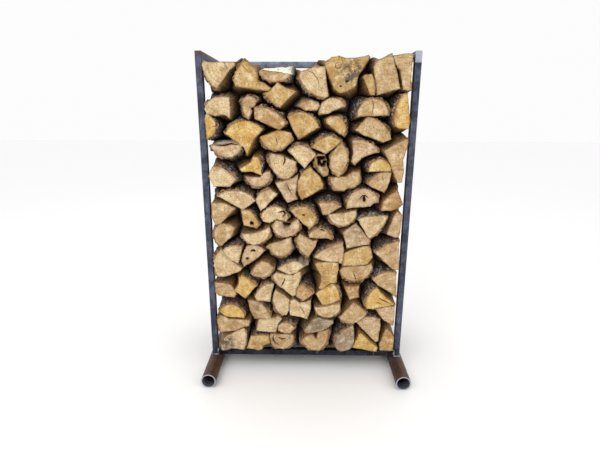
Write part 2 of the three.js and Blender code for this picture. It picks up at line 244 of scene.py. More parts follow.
class NodeBoard:
    """A node tree under construction, with short ways to add and join its nodes."""

    tree: bpy.types.NodeTree

    def add(self, kind: str, inputs: Optional[dict] = None, **settings: Any) -> bpy.types.Node:
        """Adds a node.

        Args:
            kind: Node type.
            inputs: Values or sockets by input name or number.
            **settings: Node properties.

        Returns:
            The new node.
        """
        made = self.tree.nodes.new(kind)
        for key, value in settings.items():
            setattr(made, key, value)
        for key, value in (inputs or {}).items():
            self.feed(made.inputs[key], value)
        return made

    def feed(self, socket: bpy.types.NodeSocket, value: Any) -> None:
        """Joins a socket to an input, or sets the input's own value.

        Args:
            socket: The input.
            value: Another node's output, or a plain value.
        """
        if isinstance(value, bpy.types.NodeSocket):
            self.tree.links.new(value, socket)
        else:
            socket.default_value = value


class Sketch(NodeBoard):
    """A material under construction."""

    def __init__(self, name: str) -> None:
        """Starts an empty material with its output and shader.

        Args:
            name: Name of the material.
        """
        self.material = bpy.data.materials.new(name)
        self.material.use_nodes = True
        self.tree = self.material.node_tree
        self.tree.nodes.clear()
        self.output = self.node("OutputMaterial")
        self.shader = self.node("BsdfPrincipled")
        self.tree.links.new(self.shader.outputs[0], self.output.inputs["Surface"])

    def node(self, kind: str, inputs: Optional[dict] = None, **settings: Any) -> bpy.types.Node:
        """Adds a shader node, named without its ShaderNode prefix."""
        return self.add("ShaderNode" + kind, inputs, **settings)

    def place(self) -> bpy.types.NodeSocket:
        """Gives the object coordinates."""
        return self.node("TexCoord").outputs["Object"]

    def scaled(self, source: bpy.types.NodeSocket, scale: tuple, turn: tuple = (0, 0, 0)) -> Any:
        """Gives coordinates stretched by a scale, and turned, for patterns with a direction."""
        return self.node("Mapping", {"Vector": source, "Scale": scale, "Rotation": turn}).outputs[0]

    def noise(self, source: Any, scale: float, detail: float = 3, rough: float = 0.55) -> Any:
        """Gives the strength of a noise pattern, 0 to 1."""
        made = self.node("TexNoise", {"Vector": source, "Scale": scale, "Detail": detail,
                                      "Roughness": rough})
        return made.outputs[0]

    def math(self, operation: str, first: Any, second: Any = 0.0, clamp: bool = False) -> Any:
        """Gives the result of a sum on one or two values."""
        return self.node("Math", {0: first, 1: second}, operation=operation,
                         use_clamp=clamp).outputs[0]

    def ramp(self, source: Any, low: float, high: float) -> Any:
        """Gives 0 where the source is at low and 1 where it is at high."""
        made = self.node("MapRange", {"Value": source, "From Min": low, "From Max": high},
                         interpolation_type="SMOOTHSTEP")
        return made.outputs[0]

    def blend(self, factor: Any, first: Any, second: Any, kind: str = "MIX") -> Any:
        """Mixes two colours.

        Args:
            factor: Share of the second colour, 0 to 1.
            first: Colour or socket.
            second: Colour or socket.
            kind: How they are mixed.

        Returns:
            The socket of the mixed colour.
        """
        made = self.node("Mix", {}, data_type="RGBA", blend_type=kind)
        self.feed(made.inputs[0], factor)
        for socket, value in ((made.inputs[6], first), (made.inputs[7], second)):
            self.feed(socket, value if isinstance(value, bpy.types.NodeSocket) else (*value, 1.0))
        return made.outputs[2]

    def cover(self, mask: Any, force: Any, colour: Any, over: Any) -> Any:
        """Lays one colour over another where a mask times a force is high."""
        return self.blend(self.math("MULTIPLY", mask, force), colour, over)

    def tint(self, mask: Any, force: float, colour: Any, shade: tuple) -> Any:
        """Multiplies a colour by a shade where a mask is high."""
        return self.cover(mask, force, colour, self.blend(1.0, colour, shade, "MULTIPLY"))

    def attribute(self, name: str, output: str = "Fac") -> bpy.types.NodeSocket:
        """Gives a value that the mesh carries."""
        return self.node("Attribute", attribute_name=name).outputs[output]

    def bump(self, height: Any, strength: float, depth: float) -> None:
        """Raises the surface by a height pattern."""
        made = self.node("Bump", {"Height": height, "Strength": strength, "Distance": depth})
        self.feed(self.shader.inputs["Normal"], made.outputs[0])

    def finish(self, colour: Any, roughness: Any, metallic: Any = 0.0) -> bpy.types.Material:
        """Sets the shader's own values or joins its sockets.

        Args:
            colour: Base colour.
            roughness: Roughness, 0 to 1.
            metallic: Metal, 0 to 1.

        Returns:
            The finished material.
        """
        plain = isinstance(colour, tuple)
        self.feed(self.shader.inputs["Base Color"], (*colour, 1.0) if plain else colour)
        self.feed(self.shader.inputs["Roughness"], roughness)
        self.feed(self.shader.inputs["Metallic"], metallic)
        return self.material


# ---- Helpers for Geometry Nodes ----

class GeometryBoard(NodeBoard):
    """A Geometry Nodes tree under construction, with named inputs."""

    def __init__(self, name: str, inputs: dict[str, str], output: str) -> None:
        """Starts a tree with its sockets.

        Args:
            name: Name of the tree.
            inputs: Kind of each input by its name.
            output: Name of the geometry that comes out.
        """
        self.tree = bpy.data.node_groups.new(name, "GeometryNodeTree")
        face = self.tree.interface
        for label, kind in inputs.items():
            face.new_socket(label, in_out="INPUT", socket_type="NodeSocket" + kind)
        face.new_socket(output, in_out="OUTPUT", socket_type="NodeSocketGeometry")
        self.start, self.end = self.add("NodeGroupInput"), self.add("NodeGroupOutput")

    def spread(self, low: tuple, high: tuple, inputs: dict[str, Any]) -> bpy.types.NodeSocket:
        """Gives a random vector between two corners."""
        return self.add("FunctionNodeRandomValue", {0: low, 1: high, **inputs},
                        data_type="FLOAT_VECTOR").outputs[0]

    def dressed(self, source: bpy.types.NodeSocket, finish: bpy.types.Material) -> bpy.types.NodeTree:
        """Ends the tree with a material.

        Args:
            source: The real geometry.
            finish: Its material.

        Returns:
            The finished tree.
        """
        made = self.add("GeometryNodeSetMaterial", {"Geometry": source, "Material": finish})
        self.feed(self.end.inputs[0], made.outputs[0])
        return self.tree


def realised(source: bpy.types.Object, tree: bpy.types.NodeTree, values: dict[str, Any],
             name: str) -> bpy.types.Object:
    """Runs a Geometry Nodes tree on an object and keeps the result as a plain mesh.

    Args:
        source: The object that the tree reads, which is removed afterwards.
        tree: The tree.
        values: Values of the tree's inputs by name.
        name: Name of the new piece.

    Returns:
        The new mesh object at the origin.
    """
    modifier = source.modifiers.new("made", "NODES")
    modifier.node_group = tree
    sockets = {item.name: item.identifier for item in tree.interface.items_tree
               if item.item_type == "SOCKET" and item.in_out == "INPUT"}
    for key, value in values.items():
        modifier[sockets[key]] = value
    bpy.context.view_layer.update()
    graph = bpy.context.evaluated_depsgraph_get()
    mesh = bpy.data.meshes.new_from_object(source.evaluated_get(graph))
    source.modifiers.remove(modifier)
    bpy.data.objects.remove(source)
    mesh.name = name
    piece = bpy.data.objects.new(name, mesh)
    bpy.context.scene.collection.objects.link(piece)
    return piece


# ---- Finishes of the wood ----

class Tone(Enum):
    """Colour of a log's sawn face."""

    PALE = srgb(234, 214, 170)
    YELLOW = srgb(234, 200, 116)
    HONEY = srgb(220, 189, 122)
    PINK = srgb(225, 200, 161)
    TAN = srgb(215, 188, 140)
    GREY = srgb(204, 189, 160)
    ORANGE = srgb(204, 168, 114)


TONE_OF_LOGS = {
    Tone.PALE: "A1 B2 C3 C4 C5 D3 D4 E1 E2 E5 E12 F4 F6 F9 G1 G2 H1 H4 H5 I1 I4 J1 J4",
    Tone.YELLOW: "A6 C1 D2 D6 D8 G7 H2 H7 H8 H15",
    Tone.HONEY: "A2 A8 J5 D7 F3 F7 G4 H9 H11 H12 H13 I6 J2 J6 E8",
    Tone.PINK: "A7 B6 E3 E9 E11 E13 F5 F11 G3 G11 H3 H6",
    Tone.TAN: "E7 F2 G9 G12 H14 J7 A3 A4 B1 B3 B5 C2 D1 D9 D11 E4 E6 E10 F1 F8 F10 G5 G6 I2 I3 I5 J3 J8",
    Tone.GREY: "A5 B4",
    Tone.ORANGE: "D5 D10 F12 G10 H10",
}
LICHEN_LOGS = "H1 H2 H12 H14 H13 I2 G4 G3 E12 D9 H6 J3 J2 I5 E6 C5"
BARK_DARK = srgb(22, 16, 11)
BARK_MID = srgb(98, 74, 52)
BARK_GREY = srgb(154, 134, 110)
BARK_CUT = srgb(150, 110, 68)
LICHEN = srgb(196, 198, 200)
# Painted shade for the inside of cracks, checks and hollows.
CRACK_PAINTED_SHADE = srgb(34, 22, 14)


@dataclass(frozen=True)
class BarkPattern:
    """Furrowed bark with crumbs and patches of lichen."""

    furrow: float = 95.0
    stretch: float = 0.3

    def colour(self, sketch: Sketch, place: Any, cut: bool) -> tuple[Any, Any]:
        """Adds the bark to a material.

        Args:
            sketch: Material under construction.
            place: Object coordinates.
            cut: Whether this is the bark's sawn edge, which is browner and bare.

        Returns:
            The bark's colour and its height.
        """
        along = sketch.scaled(place, (self.furrow, self.furrow * self.stretch, self.furrow))
        ridge = sketch.noise(along, 1.0, 5, 0.65)
        crumbs = sketch.noise(place, 330, 3, 0.65)
        height = sketch.math("ADD", ridge, sketch.math("MULTIPLY", crumbs, 0.6))
        low = sketch.blend(sketch.ramp(height, 0.66, 0.78), BARK_DARK, BARK_MID)
        base = sketch.blend(sketch.ramp(height, 0.8, 0.92), low, BARK_GREY)
        if cut:
            return sketch.blend(sketch.ramp(height, 0.68, 0.86), BARK_DARK, BARK_CUT), height
        spread = sketch.noise(place, 62, 5, 0.75)
        spots = sketch.math("MULTIPLY", sketch.ramp(spread, 0.5, 0.57), sketch.attribute("lichen"))
        return sketch.blend(spots, base, LICHEN), height


@dataclass(frozen=True)
class EndGrain:
    """The sawn end of a log: rings round the pith, rays, saw marks, specks, a darker band along its edge
    and painted shade in its cracks and checks.
    """

    ring_gap: float = 3.1 * MM
    ring_wander: float = 9 * MM
    bark: BarkPattern = BarkPattern()

    def polar(self, sketch: Sketch, place: Any) -> tuple[Any, Any]:
        """Measures from the pith, which the mesh carries.

        Args:
            sketch: Material under construction.
            place: Object coordinates.

        Returns:
            The distance from the pith and the angle round it.
        """
        pith = sketch.attribute("pith", "Vector")
        offset = sketch.node("VectorMath", {0: place, 1: pith}, operation="SUBTRACT").outputs[0]
        flat = sketch.node("VectorMath", {0: offset, 1: (1, 0, 1)}, operation="MULTIPLY").outputs[0]
        reach = sketch.node("VectorMath", {0: flat}, operation="LENGTH").outputs["Value"]
        parts = sketch.node("SeparateXYZ", {0: flat})
        return reach, sketch.math("ARCTAN2", parts.outputs["Z"], parts.outputs["X"])

    def rings(self, sketch: Sketch, place: Any, from_pith: Any) -> Any:
        """Draws growth rings that fade in and out.

        Args:
            sketch: Material under construction.
            place: Object coordinates.
            from_pith: Wandering distance from the pith.

        Returns:
            Their strength, 0 to 1.
        """
        turns = sketch.math("MULTIPLY", from_pith, math.tau / self.ring_gap)
        ring = sketch.math("MULTIPLY_ADD", sketch.math("SINE", turns), 0.5)
        ring.node.inputs[2].default_value = 0.5
        spread = sketch.noise(place, 34, 4, 0.6)
        return sketch.math("MULTIPLY", ring, sketch.ramp(spread, 0.38, 0.66))

    def fan(self, sketch: Sketch, angle: Any, reach: Any, size: tuple[float, float],
            third: Any = 0.0) -> Any:
        """Gives coordinates that spread from the pith, for rays and drying checks.

        Args:
            sketch: Material under construction.
            angle: Angle round the pith.
            reach: Distance from the pith.
            size: How fine the pattern is round the pith and away from it.
            third: Third coordinate.

        Returns:
            The socket of the coordinates.
        """
        return sketch.node("CombineXYZ", {0: sketch.math("MULTIPLY", angle, size[0]),
                                          1: sketch.math("MULTIPLY", reach, size[1]),
                                          2: third}).outputs[0]

    def material(self) -> bpy.types.Material:
        """Builds the material.

        Returns:
            The finished material.
        """
        sketch = Sketch("sawn_end")
        place = sketch.place()
        reach, angle = self.polar(sketch, place)
        wander = sketch.math("MULTIPLY", sketch.noise(place, 26, 3), self.ring_wander)
        from_pith = sketch.math("ADD", reach, wander)
        rings = self.rings(sketch, place, from_pith)
        rays = sketch.noise(self.fan(sketch, angle, reach, (34, 28)), 1.0, 3, 0.7)
        band_place = sketch.node("CombineXYZ", {0: sketch.math("MULTIPLY", from_pith, 190)}).outputs[0]
        bands = sketch.noise(band_place, 1.0, 4, 0.7)
        deep = sketch.math("MULTIPLY", wander, 300)
        check_fan = self.fan(sketch, angle, reach, (9, 16), deep)
        off_line = sketch.math("ABSOLUTE", sketch.math(
            "SUBTRACT", sketch.noise(check_fan, 1.0, 3, 0.6), 0.52))
        checks = sketch.math("MULTIPLY", sketch.ramp(off_line, 0.012, 0.002),
                             sketch.ramp(sketch.noise(place, 38, 2), 0.5, 0.6))
        saw = sketch.noise(sketch.scaled(place, (40, 1, 620), (0, 0.5, 0)), 1.0, 2, 0.5)
        mottle = sketch.noise(place, 21, 5, 0.65)
        grain = sketch.noise(place, 240, 4, 0.7)
        light = sketch.noise(place, 31, 5, 0.7)
        specks = sketch.noise(place, 120, 4, 0.75)
        stain = sketch.noise(place, 52, 5, 0.75)
        colour = sketch.attribute("tone", "Color")
        for mask, force, shade in ((rings, 0.4, srgb(190, 156, 112)),
                                   (sketch.ramp(bands, 0.46, 0.66), 0.7, srgb(196, 162, 120)),
                                   (sketch.ramp(rays, 0.42, 0.72), 0.34, srgb(172, 136, 98)),
                                   (sketch.ramp(saw, 0.45, 0.7), 0.34, srgb(198, 168, 130)),
                                   (sketch.ramp(mottle, 0.44, 0.66), 0.7, srgb(208, 184, 152)),
                                   (sketch.ramp(grain, 0.42, 0.66), 0.5, srgb(186, 154, 116))):
            colour = sketch.tint(mask, force, colour, shade)
        # Darkens a mottled band along the edge of the sawn end.
        edge_darkening = sketch.math("MULTIPLY", sketch.attribute("rim"), sketch.ramp(mottle, 0.2, 0.6))
        for mask, force, over in ((sketch.ramp(light, 0.48, 0.7), 0.5, srgb(252, 234, 198)),
                                  (sketch.ramp(specks, 0.6, 0.7), 0.7, srgb(86, 60, 40)),
                                  # Painted shade: thin drying checks drawn as near-black lines.
                                  (checks, 0.8, CRACK_PAINTED_SHADE),
                                  (sketch.ramp(stain, 0.37, 0.6), sketch.attribute("stain"),
                                   srgb(98, 82, 66)),
                                  (edge_darkening, 0.85, srgb(88, 60, 38))):
            colour = sketch.cover(mask, force, colour, over)
        bark_colour, bark_height = self.bark.colour(sketch, place, True)
        is_bark = sketch.ramp(sketch.attribute("bark"), 0.35, 0.6)
        colour = sketch.blend(is_bark, colour, bark_colour)
        # Painted shade: cracks and hollows darken to near black where the mesh marks them.
        colour = sketch.blend(sketch.ramp(sketch.attribute("crack"), 0.25, 0.8), colour, CRACK_PAINTED_SHADE)
        rough_bark = sketch.math("MULTIPLY", bark_height, is_bark)
        height = sketch.math("ADD", sketch.math("MULTIPLY", rings, 0.2),
                             sketch.math("ADD", saw, rough_bark))
        sketch.bump(height, 0.5, 0.6 * MM)
        return sketch.finish(colour, 0.82)


@dataclass(frozen=True)
class LogSide:
    """The long side of a log: torn fibres where it was split, bark where it is round, a painted highlight
    on a few split tops and painted shade where a neighbour covers it.
    """

    bark: BarkPattern = BarkPattern()

    def material(self) -> bpy.types.Material:
        """Builds the material.

        Returns:
            The finished material.
        """
        sketch = Sketch("split_side")
        place = sketch.place()
        tone = sketch.attribute("tone", "Color")
        fibre = sketch.noise(sketch.scaled(place, (330, 9, 330)), 1.0, 4, 0.65)
        streak = sketch.noise(sketch.scaled(place, (70, 3, 70)), 1.0, 3, 0.6)
        dust = sketch.noise(place, 60, 4)
        dark = sketch.blend(1.0, tone, srgb(120, 95, 74), "MULTIPLY")
        light = sketch.blend(1.0, tone, srgb(206, 182, 150), "MULTIPLY")
        colour = sketch.blend(sketch.ramp(fibre, 0.34, 0.62), dark, light)
        for mask, force, over in ((sketch.ramp(streak, 0.5, 0.72), 0.5, srgb(114, 90, 68)),
                                  # Painted highlight: the split faces of a few logs are whitened to stand
                                  # in for light on their tops.
                                  (sketch.attribute("painted_top_highlight"), sketch.ramp(fibre, 0.2, 0.5),
                                   srgb(240, 232, 216)),
                                  (sketch.ramp(dust, 0.52, 0.7), 0.5, srgb(74, 60, 48))):
            colour = sketch.cover(mask, force, colour, over)
        bark_colour, bark_height = self.bark.colour(sketch, place, False)
        is_bark = sketch.ramp(sketch.attribute("bark"), 0.35, 0.6)
        colour = sketch.blend(is_bark, colour, bark_colour)
        # Painted shade: the side darkens to near black where a neighbouring log covers it, growing in from
        # each end.
        colour = sketch.cover(sketch.attribute("painted_gap_shade"), 0.88, colour, srgb(14, 10, 7))
        height = sketch.blend(is_bark, fibre, sketch.math("MULTIPLY", bark_height, 1.8))
        sketch.bump(height, 0.7, 1.2 * MM)
        return sketch.finish(colour, 0.86)


# ---- Logs ----

class End(Enum):
    """One of the two sawn ends of a log."""

    FRONT = "front"
    BACK = "back"


ROW_LENGTHS = {"A": 8, "B": 6, "C": 5, "D": 11, "E": 13, "F": 12, "G": 12, "H": 15, "I": 6, "J": 8}
MISSING_NAME = "G8"


def log_names() -> list[str]:
    """Names of the logs, row by row from the bottom."""
    names = [f"{row}{number}" for row, count in ROW_LENGTHS.items() for number in range(1, count + 1)]
    return [name for name in names if name != MISSING_NAME]


@dataclass(frozen=True)
class Crack:
    """A drying crack across a sawn end."""

    points: tuple[tuple[float, float], ...]
    width: float = 1.6
    depth: float = 9.0


@dataclass(frozen=True)
class Hollow:
    """A rotted hollow in a sawn end."""

    x: float
    z: float
    half_width: float
    half_height: float
    depth: float = 26.0


# Cracks and hollows by log, in millimetres in the plane of the front.
CRACKS = {
    "A3": [Crack(((-138, 156), (-143, 138), (-134, 120), (-116, 108)), 4.0, 14),
           Crack(((-118, 146), (-104, 134), (-88, 140)), 4.5, 16)],
    "D4": [Crack(((-88, 425), (-92, 408), (-103, 390)), 3.0, 16)],
    "J5": [Crack(((108, 1252), (98, 1247), (97, 1236), (107, 1230), (117, 1235), (118, 1246)), 1.6, 4)],
    "F8": [Crack(((50, 634), (62, 631), (72, 626)), 3.4, 12)],
    "H4": [Crack(((-88, 922), (-84, 905), (-92, 886)), 3.6, 16)],
    "J1": [Crack(((-300, 1252), (-296, 1240), (-286, 1228)), 1.4, 6)],
    "F6": [Crack(((-112, 700), (-92, 706), (-84, 694), (-94, 684)), 5.5, 24)],
    "F11": [Crack(((205, 757), (212, 767), (223, 771), (233, 766), (239, 759)), 4.0, 16)],
    "H6": [Crack(((-352, 962), (-318, 958), (-288, 966), (-262, 962)), 4.5, 22)],
    "J4": [Crack(((-8, 1226), (18, 1218), (36, 1196), (42, 1172)), 1.4, 5)],
    "D8": [Crack(((300, 340), (322, 330), (348, 316)), 2.6, 12),
           Crack(((290, 322), (312, 316)), 2.0, 9)],
    "C4": [Crack(((-30, 300), (-14, 284), (-6, 264)), 1.8, 7)],
    "D11": [Crack(((190, 452), (200, 430), (206, 410)), 2.0, 8)],
    "H9": [Crack(((-118, 992), (-112, 964)), 1.6, 6)],
    "G3": [Crack(((-78, 820), (-70, 796), (-58, 776)), 2.0, 8)],
    "I5": [Crack(((236, 1076), (240, 1100), (236, 1122)), 1.5, 6)],
}
# Split tops that slope up behind the front end, by how far, and logs whose split faces are painted paler, a
# painted highlight for light on their tops, by how much.
RISING_TOPS = {"J3": 22.0, "H6": 8.0, "E5": 8.0}
PAINTED_TOP_HIGHLIGHT = {"J3": 1.0, "H6": 0.9, "E5": 0.35, "I3": 0.25}
HOLLOWS = {
    "G10": [Hollow(52, 914, 15, 7, 40), Hollow(45, 900, 7, 14, 40), Hollow(58, 888, 12, 6, 36),
            Hollow(66, 898, 7, 7, 30)],
    "F11": [Hollow(223, 757, 6, 13, 24)],
    "F3": [Hollow(-218, 655, 9, 8, 18)],
    "E3": [Hollow(-214, 541, 10, 5, 14), Hollow(-240, 506, 7, 5, 12)],
    "F5": [Hollow(-78, 656, 15, 9, 22)],
    "J5": [Hollow(140, 1188, 7, 5, 5), Hollow(118, 1172, 5, 4, 4)],
    "F7": [Hollow(-12, 694, 6, 4, 10)],
}
# Dark stains by log: x and z of the middle and the radius, in millimetres, and the strength.
STAINED = {"J5": (158, 1216, 40, 1.6), "A1": (-348, 128, 40, 1.7), "G10": (55, 880, 30, 0.7),
           "B4": (40, 215, 50, 0.8), "A5": (160, 150, 60, 0.6), "E11": (195, 620, 40, 0.6),
           "C2": (-210, 290, 40, 0.6), "F5": (-84, 655, 24, 1.0), "G3": (-62, 800, 30, 0.5)}


@dataclass
class LogShape:
    """Where one log is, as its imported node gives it, with its outline cut into short steps.

    Outlines run anticlockwise seen from the front.
    """

    name: str
    node: str
    corners: np.ndarray
    front: float
    back: float
    step: float = 3.3 * MM
    longest_arc_side: float = 16.5 * MM
    shortest_arc_side: float = 5 * MM
    pith_reach: float = 100 * MM
    pith_drop: float = 70 * MM
    ring: np.ndarray = field(default_factory=lambda: np.zeros((0, 2)))
    bark: np.ndarray = field(default_factory=lambda: np.zeros(0))
    outward: np.ndarray = field(default_factory=lambda: np.zeros((0, 2)))
    pith: np.ndarray = field(default_factory=lambda: np.zeros(2))

    def __post_init__(self) -> None:
        """Cuts the outline into short steps and finds its bark and its pith."""
        flags = self.round_sides()
        after = np.roll(self.corners, -1, axis=0)
        points, barks = [], []
        for start, end, flag in zip(self.corners, after, flags):
            count = max(1, round(float(np.hypot(*(end - start))) / self.step))
            for number in range(count):
                points.append(start + (end - start) * number / count)
                barks.append(float(flag))
        self.ring = np.array(points)
        self.bark = around(np.array(barks), 2)
        self.outward = outward_of(self.ring, 2)[1]
        self.pith = self.find_pith(flags)

    def round_sides(self) -> np.ndarray:
        """Says which sides of the outline belong to a round bark side.

        Returns:
            True for each side that is part of an arc.
        """
        after = np.roll(self.corners, -1, axis=0)
        sides = after - self.corners
        lengths = np.hypot(sides[:, 0], sides[:, 1])
        heading = np.arctan2(sides[:, 1], sides[:, 0])
        turn = (np.roll(heading, -1) - heading + math.pi) % math.tau - math.pi
        arc = (lengths < self.longest_arc_side) & (lengths > self.shortest_arc_side)
        follows = arc & np.roll(arc, -1) & (turn > 0.01) & (turn < 0.7)
        follows &= np.abs(np.roll(lengths, -1) / np.maximum(lengths, TINY) - 1) < 0.15
        flags = np.zeros(len(sides), bool)
        for number in range(len(sides)):
            if follows[number] and follows[(number + 1) % len(sides)]:
                for extra in range(3):
                    flags[(number + extra) % len(sides)] = True
        return flags

    def find_pith(self, flags: np.ndarray) -> np.ndarray:
        """Finds the middle of the growth rings from the round side.

        Args:
            flags: Which sides are round.

        Returns:
            The place of the pith in the x-z plane.
        """
        middle = self.corners.mean(axis=0)
        points = self.corners[flags]
        if len(points) < 3:
            return middle - np.array([0.0, self.pith_drop])
        system = np.column_stack([2 * points, np.ones(len(points))])
        answer, *_ = np.linalg.lstsq(system, (points ** 2).sum(axis=1), rcond=None)
        away = answer[:2] - middle
        size = float(np.hypot(*away))
        return middle + away * min(1.0, self.pith_reach / max(size, TINY))


@dataclass
class NodeReader:
    """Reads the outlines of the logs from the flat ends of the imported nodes."""

    mean_front: float = -192 * MM
    spread: float = 6 * MM
    turn: float = 2.4
    merge: float = 0.02 * MM
    flat_within: float = 0.05 * MM
    same_end: float = 0.1 * MM
    shortest_side: float = 0.6 * MM
    set_back: dict[str, float] = field(default_factory=lambda: {"A3": 20 * MM, "A8": 15 * MM})

    def loops(self, node: str, facing: int) -> list[tuple[float, np.ndarray]]:
        """Finds the closed outlines of a node's flat ends.

        Args:
            node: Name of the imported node.
            facing: -1 for ends that face the front, 1 for the back.

        Returns:
            The y and the outline of each end.
        """
        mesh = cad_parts[node].data
        mesh.calc_loop_triangles()
        places = np.zeros(len(mesh.vertices) * 3)
        mesh.vertices.foreach_get("co", places)
        places = places.reshape(-1, 3)
        corners = np.zeros(len(mesh.loop_triangles) * 3, np.int64)
        mesh.loop_triangles.foreach_get("vertices", corners)
        corners = corners.reshape(-1, 3)
        rounded = np.round(places / self.merge).astype(np.int64)
        keys: dict[tuple, int] = {}
        merged = np.array([keys.setdefault(tuple(row), len(keys)) for row in rounded])
        spots = np.zeros((len(keys), 3))
        spots[merged] = places
        ends: dict[int, list] = {}
        for triangle in merged[corners]:
            a, b, c = spots[triangle]
            if np.ptp([a[1], b[1], c[1]]) > self.flat_within:
                continue
            if np.cross(b - a, c - a)[1] * facing > 0:
                ends.setdefault(round(a[1] / self.same_end), []).append(tuple(triangle))
        found = []
        for triangles in ends.values():
            found += [(float(spots[run[0], 1]), spots[run][:, [0, 2]]) for run in self.chains(triangles)]
        return found

    def chains(self, triangles: list) -> list[list[int]]:
        """Follows the open sides of a patch of triangles round into closed runs.

        Args:
            triangles: Corner numbers of each triangle.

        Returns:
            The corner numbers of each closed run.
        """
        sides = {}
        for a, b, c in triangles:
            for side in ((a, b), (b, c), (c, a)):
                if side[::-1] in sides:
                    del sides[side[::-1]]
                else:
                    sides[side] = True
        after = {start: end for start, end in sides}
        runs = []
        while after:
            start, spot = after.popitem()
            run = [start]
            while spot in after and spot != start:
                run.append(spot)
                spot = after.pop(spot)
            if len(run) > 2:
                runs.append(run)
        return runs

    def logs(self) -> list[LogShape]:
        """Reads every log.

        Returns:
            The logs in the order of their names.
        """
        order = log_names()
        found = []
        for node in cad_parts:
            if not node.startswith("log"):
                continue
            names = [name.upper() for name in node.split("_")[1:]]
            fronts = self.tidy(self.loops(node, -1))
            backs = self.tidy(self.loops(node, 1))
            for name in names:
                wanted = self.mean_front + self.spread * math.sin(self.turn * order.index(name))
                wanted += self.set_back.get(name, 0.0)
                front, corners = min(fronts, key=lambda end: abs(end[0] - wanted))
                middle = corners.mean(axis=0)
                back = min(backs, key=lambda end: np.hypot(*(end[1].mean(axis=0) - middle)))[0]
                found.append(LogShape(name, node, corners, front, back))
        return sorted(found, key=lambda log: order.index(log.name))

    def tidy(self, ends: list) -> list:
        """Keeps the largest outline at each y, run anticlockwise, without doubled corners.

        Args:
            ends: The y and the outline of each end.

        Returns:
            The ends that were kept, in the same form.
        """
        best: dict[int, tuple] = {}
        for y, loop in ends:
            key = round(y / self.same_end)
            area = signed_area(loop)
            if key not in best or abs(area) > abs(signed_area(best[key][1])):
                best[key] = (y, loop if area > 0 else loop[::-1])
        made = []
        for y, loop in best.values():
            gap = np.hypot(*(loop - np.roll(loop, 1, axis=0)).T)
            made.append((y, loop[gap > self.shortest_side]))
        return made


@dataclass
class RoomMap:
    """Which log owns each spot of the rack's cross section, and how far logs can swell."""

    logs: list[LogShape]
    half_width: float
    floor: float
    ceiling: float
    cell: float = 1.5 * MM
    reach: float = 44 * MM
    growth: float = 1.2 * MM
    floor_touch: float = 6 * MM

    def __post_init__(self) -> None:
        """Gives each spot to the nearest log."""
        self.low = np.array([-self.half_width, self.floor])
        size = np.array([2 * self.half_width, self.ceiling - self.floor])
        self.shape = tuple((size / self.cell).astype(int))
        best = np.full(self.shape, self.reach)
        self.owner = np.full(self.shape, -1)
        for number, log in enumerate(self.logs):
            low = np.floor((log.corners.min(axis=0) - self.reach - self.low) / self.cell).astype(int)
            high = np.ceil((log.corners.max(axis=0) + self.reach - self.low) / self.cell).astype(int)
            low = np.maximum(low, 0)
            high = np.minimum(high, self.shape)
            rows, columns = np.meshgrid(np.arange(low[0], high[0]), np.arange(low[1], high[1]),
                                        indexing="ij")
            spots = np.stack([rows.ravel(), columns.ravel()], axis=1)
            points = self.low + (spots + 0.5) * self.cell
            away = distance_to(points, log.corners)
            away[inside(points, log.corners)] = 0
            nearer = away < best[spots[:, 0], spots[:, 1]]
            best[spots[nearer, 0], spots[nearer, 1]] = away[nearer]
            self.owner[spots[nearer, 0], spots[nearer, 1]] = number

    def owner_at(self, points: np.ndarray) -> np.ndarray:
        """Says which log owns each point.

        Args:
            points: One row of x, z for each point.

        Returns:
            The number of each point's log, or -1 for none and -2 outside the rack.
        """
        spots = np.floor((points - self.low) / self.cell).astype(int)
        valid = ((spots >= 0) & (spots < np.array(self.shape))).all(axis=1)
        found = np.full(len(points), -2)
        found[valid] = self.owner[spots[valid, 0], spots[valid, 1]]
        return found

    def grown(self, number: int, start: np.ndarray) -> tuple[np.ndarray, np.ndarray]:
        """Grows a log's outline step by step until it fills the room that the log owns.

        Args:
            number: Which log.
            start: Its outline.

        Returns:
            The grown outline, and how far a neighbour is what ended it, 0 to 1.
        """
        spots = start.copy()
        met = np.zeros(len(spots))
        for _ in range(int(self.reach / self.growth)):
            run, outward = outward_of(spots, 1)
            found = self.owner_at(spots + outward * (self.growth + self.cell * 0.5))
            free = found == number
            floored = (found == -2) & (spots[:, 1] < self.floor + self.floor_touch)
            met = np.where(free, met, ((found >= 0) | floored).astype(float))
            spots = spots + outward * (free * self.growth)[:, None]
            middle = (np.roll(spots, -1, axis=0) + np.roll(spots, 1, axis=0)) / 2
            slip = ((middle - spots) * run).sum(axis=1)
            spots = spots + run * (0.5 * slip)[:, None]
        return spots, np.where(free, 0.0, met)

    def room(self, number: int) -> np.ndarray:
        """Measures how far each point of a log's outline can move outwards.

        Args:
            number: Which log.

        Returns:
            The room at each point.
        """
        log = self.logs[number]
        steps = np.arange(1, int(self.reach / MM)) * MM
        room = np.full(len(log.ring), steps[-1])
        moving = np.ones(len(log.ring), bool)
        for step in steps:
            stopped = moving & (self.owner_at(log.ring + log.outward * (step + self.cell)) != number)
            room[stopped] = step - MM
            moving &= ~stopped
        return room


